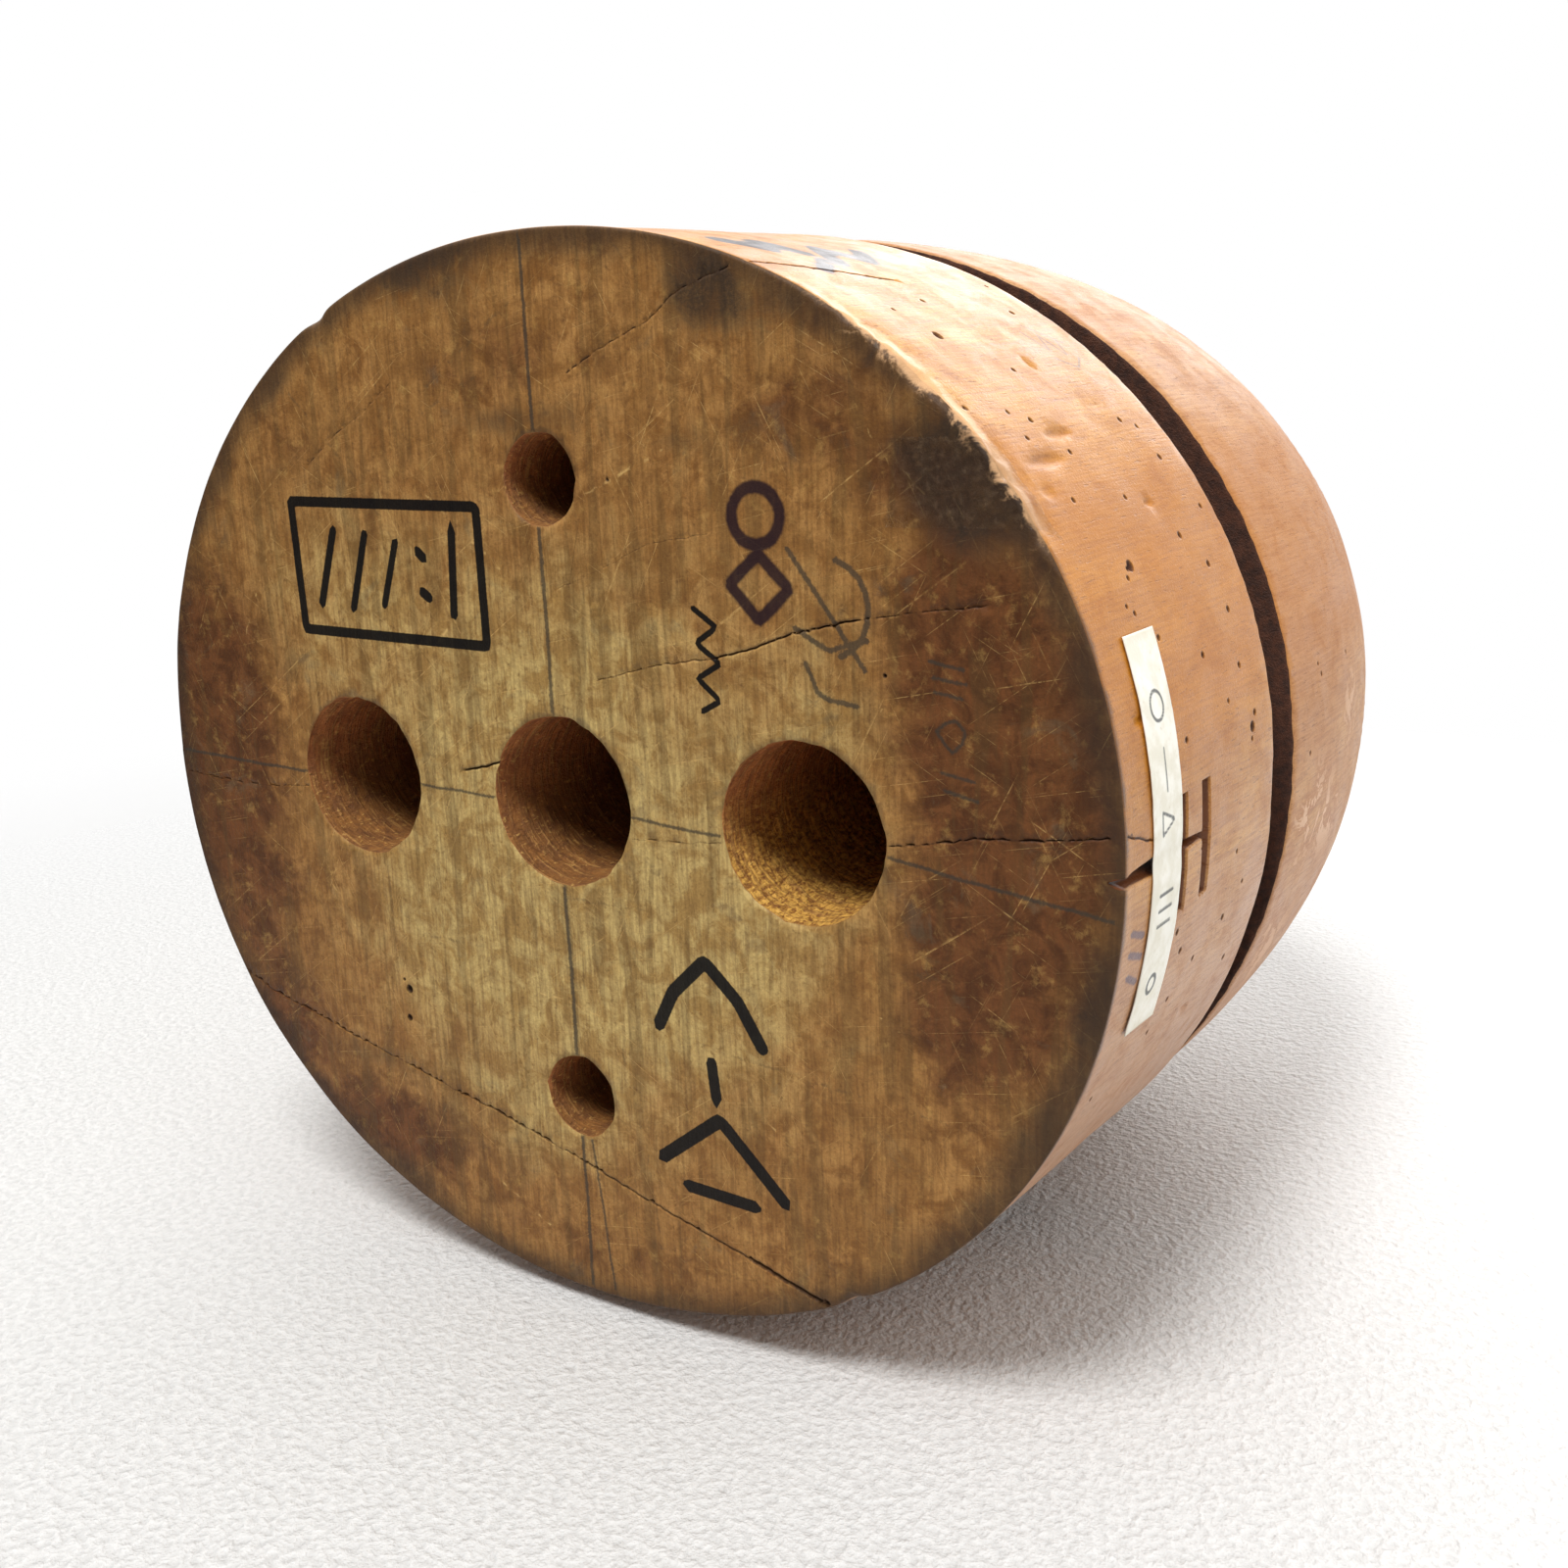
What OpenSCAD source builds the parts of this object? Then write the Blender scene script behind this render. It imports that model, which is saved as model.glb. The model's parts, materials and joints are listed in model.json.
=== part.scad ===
// Milliner's wooden hat block, head size 52 cm, lying on the long side of its oval.
// X runs along the long axis of the oval, Y from the flat base to the crown, and Z is up.
// The origin is the middle of the centre socket's mouth, in the plane of the flat base.

/* [Oval body] */
// Half of the base oval's length, along X
base_half_length = 85.5; // [70:0.5:110]
// Half of the base oval's width, along Z
base_half_width = 79; // [65:0.5:100]
// Fullness of the oval: 2 is an ellipse and more is squarer
oval_power = 2.06; // [1.9:0.02:2.4]
// Height of the block, from the flat base to the top of the crown
block_height = 160; // [130:1:200]
// How much the wall widens for each millimetre of height, as a fraction
wall_flare = 0.00055; // [0:0.00005:0.0008]
// Height at which the crown starts to close in
crown_start = 37; // [20:1:50]
// Squareness of the crown's shoulder: 2 is a dome and more is flatter on top
crown_power = 3.8; // [2.5:0.1:5]

/* [Cord groove] */
// Height of the groove's edge nearest the base
groove_start = 52; // [46:0.5:58]
// Width of the groove
groove_width = 10.5; // [6:0.5:12]
// Depth of the groove
groove_depth = 8; // [4:0.5:12]
// How far the crown stands back from the wall, past the groove
crown_step = 0.5; // [0:0.1:1.5]

/* [Sockets in the base] */
// Diameter of the three large sockets on the long axis
socket_d = 25; // [20:0.5:30]
// Distance between neighbouring large sockets
socket_pitch = 41; // [36:0.5:48]
// Depth of the centre socket
centre_depth = 50; // [30:1:51]
// Depth of the two large sockets beside it
side_depth = 45; // [25:1:49]
// Diameter of the two small sockets on the short axis
peg_d = 12.7; // [10:0.1:16]
// Distance of each small socket from the centre
peg_offset = 46; // [40:0.5:52]
// Depth of the small sockets
peg_depth = 40; // [20:1:49]

/* [Cuts in the wall] */
// Length of the sighting notch, up the wall at the +X end
notch_length = 29; // [20:1:40]
// Width of the sighting notch at the base
notch_width = 2.4; // [2:0.1:5]
// Length of the two chisel cuts across the notch
chisel_length = 14.8; // [8:0.1:20]
// Width of a chisel cut
chisel_width = 2.6; // [1.5:0.1:4]
// Depth of the notch and of the chisel cuts
cut_depth = 2.4; // [1:0.1:4]

/* [Paper label] */
// Width of the paper strip, along Y
label_width = 10; // [6:0.5:14]
// Angle of the strip's lower end, from the middle of the +X end
label_low_angle = -17.5; // [-30:2.5:-5]
// Angle of the strip's upper end
label_high_angle = 20; // [5:2.5:30]
// Distance of the strip's edge from the base
label_start = 8; // [4:0.5:20]
// Thickness of the paper with its glue
label_thickness = 0.3; // [0.2:0.05:0.6]

/* [Tape patch] */
// Thickness of the clear tape
tape_thickness = 0.2; // [0.1:0.05:0.4]

/* [Hidden] */
$fn = 64;
// Angle between the body's vertical edges
ring_step = 5;
ring_angles = [0 : ring_step : 360 - ring_step];
ring_points = 360 / ring_step;
// Angle between the rings of the crown's curve
crown_angle_step = 5;
// Half-length of the small flat at the very top, as a fraction of the base
top_flat = 0.05;
// Extra length that lets a cutting tool pass clear of a face
clear = 1;
groove_end = groove_start + groove_width;
crown_rise = block_height - crown_start;
// Where the two chisel cuts cross the notch, and how far below the notch they are centred
chisel_heights = [18.7, 27];
chisel_drop = 1.9;
// Corners of the tape patch on the base, as [x, z], where its outer end follows the worn rim.
// The base is worn hollow under it, so the tape's face is flush with the base
tape_outline = [[54, 40], [71, 40.5], [71.5, 43.5], [66, 50.5], [56.5, 51]];

// A power that keeps the sign of its base
function signed_power(v, p) = sign(v) * pow(abs(v), p);

// Scale of the oval at a height above the base
function oval_scale(y) =
    (1 + wall_flare * y)
    * pow(1 - pow(max(0, y - crown_start) / crown_rise, crown_power), 1 / crown_power);

// One point of the oval at a scale, moved inwards by an inset
function oval_point(angle, y, size, inset) = [
    (base_half_length * size - inset) * signed_power(cos(angle), 2 / oval_power),
    y,
    (base_half_width * size - inset) * signed_power(sin(angle), 2 / oval_power)
];

// Rings of the body as [height, scale, inset], from the base to the top
wall_rings = [
    [0, 1, 0],
    [groove_start, oval_scale(groove_start), 0],
    [groove_start, oval_scale(groove_start), groove_depth],
    [groove_end, oval_scale(groove_end), groove_depth],
    [groove_end, oval_scale(groove_end), crown_step]
];
crown_rings = [
    for (turn = [crown_angle_step : crown_angle_step : 90 - crown_angle_step])
        let (y = crown_start + crown_rise * pow(sin(turn), 2 / crown_power))
        if (y > groove_end + clear) [y, oval_scale(y), crown_step]
];
body_rings = concat(wall_rings, crown_rings, [[block_height, top_flat, 0]]);

// A closed solid through rings of points that each have the same number of points
module ringed_solid(rings, count) {
    last = len(rings) - 1;
    sides = [for (r = [0 : last - 1], i = [0 : count - 1]) let (j = (i + 1) % count)
        each [[r * count + i, r * count + j, (r + 1) * count + j],
              [r * count + i, (r + 1) * count + j, (r + 1) * count + i]]];
    first_cap = [for (i = [count - 1 : -1 : 0]) i];
    last_cap = [for (i = [0 : count - 1]) last * count + i];
    polyhedron(points = [for (ring = rings) each ring], faces = concat(sides, [first_cap, last_cap]));
}

// A straight round socket bored into the base
module socket(x, z, d, depth) {
    translate([x, -clear, z]) rotate([-90, 0, 0]) cylinder(d = d, h = depth + clear);
}

// The long tapered notch that marks the middle of the +X end
module sighting_notch() {
    reach = base_half_length * oval_scale(notch_length);
    half = notch_width / 2;
    translate([reach - cut_depth, 0, 0]) rotate([0, 90, 0])
        linear_extrude(height = cut_depth + clear)
            polygon([[-half, -clear], [half, -clear], [half / 4, notch_length], [-half / 4, notch_length]]);
}

// A flat-bottomed chisel cut across the notch
module chisel_cut(y) {
    reach = base_half_length * oval_scale(y);
    translate([reach - cut_depth, y - chisel_width / 2, -chisel_drop - chisel_length / 2])
        cube([cut_depth + clear, chisel_width, chisel_length]);
}

// A slab with the tape's outline, from a depth below the base's face out past it
module tape_slab(proud) {
    translate([0, tape_thickness, 0]) rotate([90, 0, 0])
        linear_extrude(height = tape_thickness + proud) polygon(tape_outline);
}

module block() {
    color("peru") difference() {
        ringed_solid([for (r = body_rings) [for (t = ring_angles) oval_point(t, r[0], r[1], r[2])]], ring_points);
        socket(0, 0, socket_d, centre_depth);
        for (side = [-1, 1]) {
            socket(side * socket_pitch, 0, socket_d, side_depth);
            socket(0, side * peg_offset, peg_d, peg_depth);
        }
        sighting_notch();
        for (y = chisel_heights) chisel_cut(y);
        tape_slab(clear);
    }
}

// The strip's corners at one angle: inside and outside, at its two edges
function label_section(angle) = [
    for (edge = [[label_start, 0], [label_start, -1], [label_start + label_width, -1], [label_start + label_width, 0]])
        oval_point(angle, edge[0], oval_scale(edge[0]), edge[1] * label_thickness)
];

module paper_label() {
    color("ivory") ringed_solid(
        [for (t = [label_low_angle : ring_step / 2 : label_high_angle]) label_section(t)], 4);
}

module tape_patch() {
    color("tan", 0.5) tape_slab(0);
}

block();
paper_label();
tape_patch();
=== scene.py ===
import json
import math

import bpy
import numpy as np
from mathutils import Matrix, Vector
from mathutils.geometry import delaunay_2d_cdt


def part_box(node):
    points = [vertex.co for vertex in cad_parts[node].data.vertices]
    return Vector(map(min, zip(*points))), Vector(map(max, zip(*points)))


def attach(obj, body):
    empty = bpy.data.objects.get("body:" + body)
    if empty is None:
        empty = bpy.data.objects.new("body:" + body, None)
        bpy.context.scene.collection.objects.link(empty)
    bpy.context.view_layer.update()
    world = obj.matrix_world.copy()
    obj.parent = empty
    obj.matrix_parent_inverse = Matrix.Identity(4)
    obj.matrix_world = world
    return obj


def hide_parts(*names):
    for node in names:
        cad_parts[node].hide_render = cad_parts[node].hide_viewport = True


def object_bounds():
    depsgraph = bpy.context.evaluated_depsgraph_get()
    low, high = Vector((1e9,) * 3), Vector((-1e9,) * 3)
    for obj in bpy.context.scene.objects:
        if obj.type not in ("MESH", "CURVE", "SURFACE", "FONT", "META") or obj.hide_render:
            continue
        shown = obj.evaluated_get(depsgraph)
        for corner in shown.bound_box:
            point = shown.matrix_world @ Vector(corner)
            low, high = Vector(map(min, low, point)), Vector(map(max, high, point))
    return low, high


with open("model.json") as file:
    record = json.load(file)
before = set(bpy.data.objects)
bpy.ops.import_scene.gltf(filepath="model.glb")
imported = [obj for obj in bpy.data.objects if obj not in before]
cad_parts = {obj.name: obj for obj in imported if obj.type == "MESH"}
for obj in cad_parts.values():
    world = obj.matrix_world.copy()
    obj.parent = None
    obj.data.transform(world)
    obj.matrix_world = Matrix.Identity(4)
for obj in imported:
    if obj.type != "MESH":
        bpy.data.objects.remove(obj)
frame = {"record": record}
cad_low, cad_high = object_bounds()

# All shapes below are worked out in millimetres and scaled to metres once, when the mesh is made.
# X runs along the oval, Y from the flat base (0) to the crown, Z is up as the block lies.
MM = 0.001
MOUNTS = {m["name"]: m for m in frame["record"]["mounts"]}

# ---------------------------------------------------------------- the body's form
HALF_LENGTH = 85.5
HALF_WIDTH = 79.0
OVAL_POWER = 2.06
WALL_FLARE = 0.00055
CROWN_START = 37.0
CROWN_POWER = 3.8
CROWN_TOP = cad_high.y / MM - 0.1
GROOVE_START = 52.2
GROOVE_END = 63.3
GROOVE_DEPTH = 8.0
CROWN_STEP = 0.5
CAP_START = 112.0
LOOP_STEP = 0.5                      # degrees between the points of each loop round the body
MM_PER_DEGREE = 1.44                 # length of wall that one degree of the oval covers
MEAN_RADIUS = 82.0
LOOP_ANGLES = np.arange(-180, 180 + LOOP_STEP / 2, LOOP_STEP)


def signed_power(value, power):
    return np.sign(value) * np.abs(value) ** power


def oval_scale(y):
    rise = np.clip((y - CROWN_START) / (CROWN_TOP - CROWN_START), 0, 1)
    return (1 + WALL_FLARE * y) * (1 - rise ** CROWN_POWER) ** (1 / CROWN_POWER)


def on_oval(degrees, y, inset):
    """Points on the body's wall at an angle and height, moved inwards by an inset."""
    turn = np.radians(np.asarray(degrees, float))
    y = np.broadcast_to(np.asarray(y, float), turn.shape)
    size = oval_scale(y)
    x = (HALF_LENGTH * size - inset) * signed_power(np.cos(turn), 2 / OVAL_POWER)
    z = (HALF_WIDTH * size - inset) * signed_power(np.sin(turn), 2 / OVAL_POWER)
    return np.stack([x, y, z], -1)


def oval_angle(x, z):
    across = signed_power(z / HALF_WIDTH, OVAL_POWER / 2)
    along = signed_power(x / HALF_LENGTH, OVAL_POWER / 2)
    return np.degrees(np.arctan2(across, along))


def oval_inset(x, z, y=0.0):
    """How far inside the body's outline a point is."""
    size = oval_scale(np.asarray(y, float))
    power_sum = np.abs(x / HALF_LENGTH) ** OVAL_POWER + np.abs(z / HALF_WIDTH) ** OVAL_POWER
    return (size - power_sum ** (1 / OVAL_POWER)) * MEAN_RADIUS


NOISE_CELLS = 32
NOISE_TABLE = np.random.default_rng(52).random((NOISE_CELLS,) * 3)


def soft_noise(points, cell, shift=0.0):
    """Smooth noise from 0 to 1, with blobs about one cell across."""
    p = np.asarray(points, float) / cell + shift
    low = np.floor(p).astype(int)
    part = p - low
    part = part * part * (3 - 2 * part)
    total = 0.0
    for corner in range(8):
        step = np.array([corner & 1, corner >> 1 & 1, corner >> 2 & 1])
        weight = np.prod(np.where(step, part, 1 - part), -1)
        cell_at = (low + step) % NOISE_CELLS
        total = total + weight * NOISE_TABLE[cell_at[..., 0], cell_at[..., 1], cell_at[..., 2]]
    return total


def bump(value, middle, width):
    return np.exp(-((value - middle) / width) ** 2)


def rim_radius(degrees):
    """Radius of the base's worn edge, larger where it is chipped."""
    degrees = (np.asarray(degrees, float) + 180) % 360 - 180
    along = np.stack([degrees * MM_PER_DEGREE, degrees * 0, degrees * 0], -1)
    worn = 0.36 + 0.4 * soft_noise(along, 14.0) + 0.12 * soft_noise(along, 3.5, 7.3)
    rough = soft_noise(along, 3.2, 3.1) ** 2 + 0.7 * soft_noise(along, 1.3, 11.7) ** 2
    chipped = np.clip((degrees - 26) / 5, 0, 1) * np.clip((61 - degrees) / 6, 0, 1)
    nick = 1.6 * bump(degrees, 118.5, 1.4)
    split = 2.0 * bump(degrees, -57.5, 1.6)
    return worn + 1.7 * chipped * rough + nick + split


# ---------------------------------------------------------------- marks, as lines of points
def arc(x, z, radius, start, end, steps=24):
    turns = np.radians(np.linspace(start, end, steps))
    return [(x + radius * math.cos(t), z + radius * math.sin(t)) for t in turns]


def closed(points):
    return points + points[:1]


# Plain strokes of a broad marker on the base: half width, then points as (x, z)
INK = [
    (0.8, closed([(-51, 42.8), (-12.3, 42.2), (-12.1, 22.1), (-50.4, 22.9)])),
    (0.75, [(-46.2, 27), (-42.2, 38.4)]),
    (0.7, [(-39.2, 26.6), (-35.4, 38)]),
    (0.65, [(-32.4, 27.4), (-29, 37)]),
    (0.8, [(-24.6, 35.6), (-23.4, 34.6)]),
    (0.8, [(-24.2, 29.6), (-23, 28.8)]),
    (0.75, [(-18.2, 26.4), (-17.4, 38.6)]),
    (1.05, [(15.6, -31.4), (18.4, -26), (24.2, -20.4), (29.6, -25.4), (33.4, -31.6)]),
    (0.95, [(24.6, -35.6), (25.2, -41)]),
    (1.05, [(15, -52.4), (25.6, -44.2), (36.4, -54.6)]),
    (1.0, [(19.4, -56), (31.2, -56.4)]),
    (0.42, [(25.2, 29.2), (28.8, 26.8), (25.4, 24.6), (29.2, 22), (25.4, 19.8), (29, 17), (26, 15.4)]),
]
# Stamped shapes in purple ink
STAMPS = [
    (0.85, arc(35.6, 41.4, 3.7, 0, 360)),
    (0.85, closed([(31.2, 32.6), (35.8, 36.6), (40.4, 32.2), (35.6, 28)])),
]
# Pencil: centre lines across the base, and a few ticks and hatches
PENCIL = [
    (0.3, [(-0.6, 79), (-0.7, 66), (-0.5, 52.6)]),
    (0.34, [(-0.6, 39.6), (-0.4, 27), (-0.5, 12.8)]),
    (0.34, [(-0.5, -12.6), (-0.3, -28), (-0.4, -39.6)]),
    (0.3, [(-0.4, -52.6), (-0.2, -66), (-0.3, -79)]),
    (0.22, [(1.5, -53), (3, -66), (4.2, -77.5)]),
    (0.26, [(-85.5, 0.4), (-70, -0.2), (-53.4, -0.6)]),
    (0.22, [(-28.3, -0.2), (-20, -0.4), (-12.8, -0.7)]),
    (0.24, [(12.8, -0.8), (21, -1.6), (28.2, -1.8)]),
    (0.26, [(53.6, -1.4), (64, -3), (75, -4.4), (85, -5.6)]),
    (0.42, arc(45.5, 30, 6.4, -70, 75)),
    (0.36, [(40.2, 37.4), (45, 31), (51.2, 22.4)]),
    (0.36, [(41, 27.4), (46, 24.6), (51.6, 26.2)]),
    (0.34, [(42.4, 23), (44.4, 18.6), (50, 17.8)]),
    (0.24, [(60.2, 24.2), (64.8, 23.4)]),
    (0.22, [(60.6, 22.2), (65.2, 21.6)]),
    (0.22, [(60.8, 20.4), (64.6, 19.8)]),
    (0.22, closed([(61, 15.6), (63.4, 17.6), (65.4, 15.2), (63, 12.8)])),
    (0.22, [(61.6, 10.4), (66.2, 9.6)]),
    (0.22, [(62, 8.2), (66.6, 7.2)]),
]
FAINT = [
    (0.22, [(-20, 59), (-3, 70)]),
    (0.22, [(-29, 52), (-10, 60.5)]),
    (0.22, [(15, 76), (19, 72)]),
    (0.22, [(24, 67.5), (30, 62.5)]),
    (0.22, [(22, -33), (65, -37)]),
    (0.22, [(0, -14.5), (30, -14)]),
    (0.22, [(-30, -25), (0, -25.6)]),
    (0.25, [(57, -11), (62, -11.6)]),
    (0.25, [(57.4, -13.8), (62, -14.2)]),
    (0.25, [(57, -16.6), (61.4, -17)]),
    (0.25, [(58.6, -10), (59.6, -18)]),
    (0.22, arc(16.5, -8, 1.2, 0, 360, 14)),
    (0.2, [(-52, 62), (-36, 46), (-26, 33)]),
    (0.2, [(-6, 34), (-3, 20), (-1.6, 13)]),
    (0.2, [(7, -30), (12, -52), (14, -70)]),
]
# Seasoning cracks on the base: half width, depth, then points as (x, z)
CRACKS = [
    (0.08, 0.5, [(-46, 48.5), (-41, 52), (-34, 55.6), (-27, 60)]),
    (0.24, 1.6, [(-19, 3), (-14, 4), (-10, 5.5)]),
    (0.11, 0.7, [(6, 60), (12, 63), (20, 66), (25, 69.5), (30, 71), (34, 72)]),
    (0.1, 0.6, [(8, 18.4), (20, 21.5), (28, 22.6)]),
    (0.19, 1.2, [(28, 22.6), (35, 24.5), (40, 26.5), (50, 28.7)]),
    (0.1, 0.7, [(50, 28.7), (60, 30.3), (67, 31)]),
    (0.06, 0.3, [(2, 31), (10, 34), (18, 37.5), (28, 39)]),
    (0.13, 0.9, [(54, 0), (60, 1), (66, 2.5), (75, 3.3), (86, 5)]),
    (0.08, 0.5, [(12.6, -4), (21, -3.4), (29, -2.6)]),
    (0.08, 0.5, [(-85, -3.4), (-75, -4), (-63, -4), (-54, -3)]),
    (0.1, 0.7, [(-76, -38), (-69, -41), (-58, -43.5), (-48, -46), (-37, -48.3)]),
    (0.13, 0.9, [(-37, -48.3), (-28, -50.5), (-18, -52.5), (-8, -55), (0, -57)]),
    (0.2, 1.4, [(0, -57), (10, -60), (20, -62.5), (30, -65)]),
    (0.5, 2.2, [(30, -65), (36, -66.8), (43, -68.6)]),
]
# Worm and pin holes on the base: x, z, radius
BASE_PINS = [(-35, -35, 0.75), (-35.5, -40, 0.6), (-36, -33.5, 0.3), (12, 46, 0.25), (54, 22, 0.3)]
# Scratches where the wood shows pale: points as (x, z)
SCRATCHES = [
    [(-55, -13), (-45, -28)],
    [(30, -39), (39, -47)],
    [(61, -43), (67, -50)],
    [(-30, 14), (-18, 26)],
    [(8, 44), (22, 50)],
    [(-10, -30), (16, -34)],
    [(44, -20), (60, -27)],
    [(-22, 44), (-8, 33)],
    [(52, 52), (60, 44)],
    [(-66, 20), (-58, 34)],
    [(-24, -62), (-8, -70)],
    [(40, 6), (54, 18)],
]

# On the wall, marks are (angle, y): degrees round the oval and millimetres from the base
WALL_PINS = [
    (24.6, 17.5), (23.8, 16.5), (21.5, 13), (20.7, 14.5), (18, 19), (12.1, 17.7), (8.5, 20.8),
    (26.2, 36.8), (22.8, 42), (18.1, 43.5), (12.7, 42.5), (10, 36.5), (7.8, 45.2), (5.5, 43.5),
    (-8.5, 19.3), (-11, 22.2), (-13.3, 28.8), (-16.3, 22.8), (-19, 19), (-16.7, 11.5), (-22.8, 6),
    (-4.3, 38.7), (-8, 42.7), (-10.8, 37.5), (-16.6, 43.8), (0.4, 71), (9, 76.8), (7.8, 78), (8.5, 94),
    (56, 13.3), (57.4, 24), (46.3, 24), (42.5, 3.6), (41.5, 12.5), (40.3, 16.3), (38.5, 12), (36.4, 20),
    (31.8, 12.8), (54.8, 43.7), (60, 49), (38.9, 40.5), (37.9, 44), (34.2, 44.3), (31, 27), (28.4, 48),
    (15, 31),
]
BIG_PINS = [(51.6, 15), (24.8, 18.6), (6.6, 43.9)]
WALL_CRACKS = [
    (0.24, 0.9, [(65.8, 0), (65.5, 5), (64.8, 10), (63.2, 18), (61.5, 26)]),
    (0.16, 0.6, [(3.3, 0), (2.6, 4), (1.8, 8)]),
]
DENTS = [
    (38.5, 20.5, 0.75, 3.2, 0.5), (36, 12.5, 0.9, 4.4, 0.55), (41, 36.5, 0.4, 3.0, 0.14),
    (33, 8, 1.0, 1.5, 0.22), (30, 33, 0.5, 1.2, 0.4), (47, 30, 1.4, 0.6, 0.3), (12, 8, 0.7, 1.5, 0.3),
    (-20, 33, 0.6, 1.6, 0.35),
]
WALL_BLUE = [
    (0.5, [(-5.4, 3.6), (-6.2, 7.2)]),
    (0.5, [(-7.4, 3.8), (-8.2, 7.4)]),
    (0.5, [(-9.6, 4.2), (-10.6, 7.2)]),
]
WALL_SMEAR = [
    (1.9, [(73, 9), (70, 13), (73, 17), (69, 20)]),
    (1.6, [(66, 22), (71, 27), (66.4, 31), (70, 36)]),
    (1.2, [(64, 14), (66.4, 19)]),
]
WALL_PENCIL = [
    (0.24, [(51.6, 38.4), (48.4, 40.2), (51, 42), (47.6, 43.8), (50, 45.6)]),
    (0.22, [(47.4, 39), (45.8, 43), (47.2, 46.4)]),
    (0.2, [(52.6, 41), (49.6, 46.8)]),
]
NOTCH_ANGLE = -0.5
NOTCH_SHAPE = [(-2, 0.35), (10, 0.85), (28, 0.15)]    # height, and half width in degrees
CHISEL_CUTS = [
    [(-6.3, 17.6), (4.0, 17.2), (4.0, 19.8), (-6.3, 20.1)],
    [(-6.2, 25.4), (4.2, 24.9), (4.2, 27.6), (-6.2, 28.1)],
]
CUT_DEPTH = 2.3
CUT_EDGE = 0.12                      # half the width over which a cut's side drops

TAPE_LOW, TAPE_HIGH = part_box("tape_patch")
TAPE_HOLLOW = 0.2                    # the base is worn this deep under the tape

FAR = 3.0                            # marks further than this are not measured
RANDOM = np.random.default_rng(7)


def unroll(points):
    """Wall marks from (angle, y) to millimetres along and up the wall."""
    return [(degrees * MM_PER_DEGREE, y) for degrees, y in points]


def resample(points, spacing, wander=0.0):
    """Evenly spaced points along a line, each moved sideways a little at random."""
    p = np.asarray(points, float)
    steps = np.linalg.norm(np.diff(p, axis=0), axis=1)
    walked = np.concatenate([[0], np.cumsum(steps)])
    at = np.linspace(0, walked[-1], max(2, int(round(walked[-1] / spacing)) + 1))
    out = np.stack([np.interp(at, walked, p[:, k]) for k in (0, 1)], -1)
    if wander:
        drift = RANDOM.normal(0, wander, len(out))
        drift[0] = drift[-1] = 0
        out = out + sideways(out) * drift[:, None]
    return out


def sideways(line):
    ahead = np.gradient(line, axis=0)
    ahead = ahead / np.maximum(np.linalg.norm(ahead, axis=1), 1e-9)[:, None]
    return np.stack([-ahead[:, 1], ahead[:, 0]], -1)


def line_distance(points, line):
    """Distance from each point to a line, or FAR where it is well away."""
    out = np.full(len(points), FAR)
    for a, b in zip(line[:-1], line[1:]):
        low = np.minimum(a, b) - FAR
        high = np.maximum(a, b) + FAR
        near = np.flatnonzero(((points > low) & (points < high)).all(1))
        if not len(near):
            continue
        q = points[near] - a
        d = b - a
        t = np.clip(q @ d / max(d @ d, 1e-12), 0, 1)
        out[near] = np.minimum(out[near], np.linalg.norm(q - t[:, None] * d, axis=1))
    return out


def mark_field(points, marks):
    """Signed distance to the nearest mark's edge, negative inside it."""
    out = np.full(len(points), FAR)
    for half, line in marks:
        out = np.minimum(out, line_distance(points, line) - half)
    return out


def pin_field(points, pins):
    out = np.full(len(points), FAR)
    for u, v, radius in pins:
        out = np.minimum(out, np.hypot(points[:, 0] - u, points[:, 1] - v) - radius)
    return out


def polygon_field(points, corners):
    """Signed distance to a convex polygon whose corners turn left, negative inside it."""
    out = np.full(len(points), -FAR)
    corners = np.asarray(corners, float)
    for a, b in zip(corners, np.roll(corners, -1, 0)):
        d = (b - a) / np.linalg.norm(b - a)
        out = np.maximum(out, (points - a) @ np.array([d[1], -d[0]]))
    return out


def plain_lines(cracks):
    """Cracks without their depths."""
    return [(half, line) for half, _, line in cracks]


def mark_points(marks, spacing=0.5):
    """Mesh points along each mark's middle and edges, so that its edges come out sharp."""
    rows = []
    for half, line in marks:
        fine = resample(line, spacing)
        side = sideways(fine)
        for offset in (-half - 0.35, -half, 0, half, half + 0.35):
            rows.append(fine + side * offset)
    return np.concatenate(rows)


def pin_points(pins):
    rows = []
    for u, v, radius in pins:
        rows.append([(u, v)])
        for ring in (0.5 * radius, radius, radius + 0.25):
            rows.append(arc(u, v, ring, 0, 324, 10))
    return np.concatenate(rows)


def polygon_points(corners, spacing=0.35):
    """Mesh points just inside and just outside a polygon's edges."""
    corners = np.asarray(corners, float)
    rows = []
    for a, b in zip(corners, np.roll(corners, -1, 0)):
        line = resample([a, b], spacing)
        d = (b - a) / np.linalg.norm(b - a)
        out = np.array([d[1], -d[0]])
        for offset in (-3 * CUT_EDGE, -CUT_EDGE, CUT_EDGE, 3 * CUT_EDGE):
            rows.append(line + out * offset)
    return np.concatenate(rows)


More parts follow.
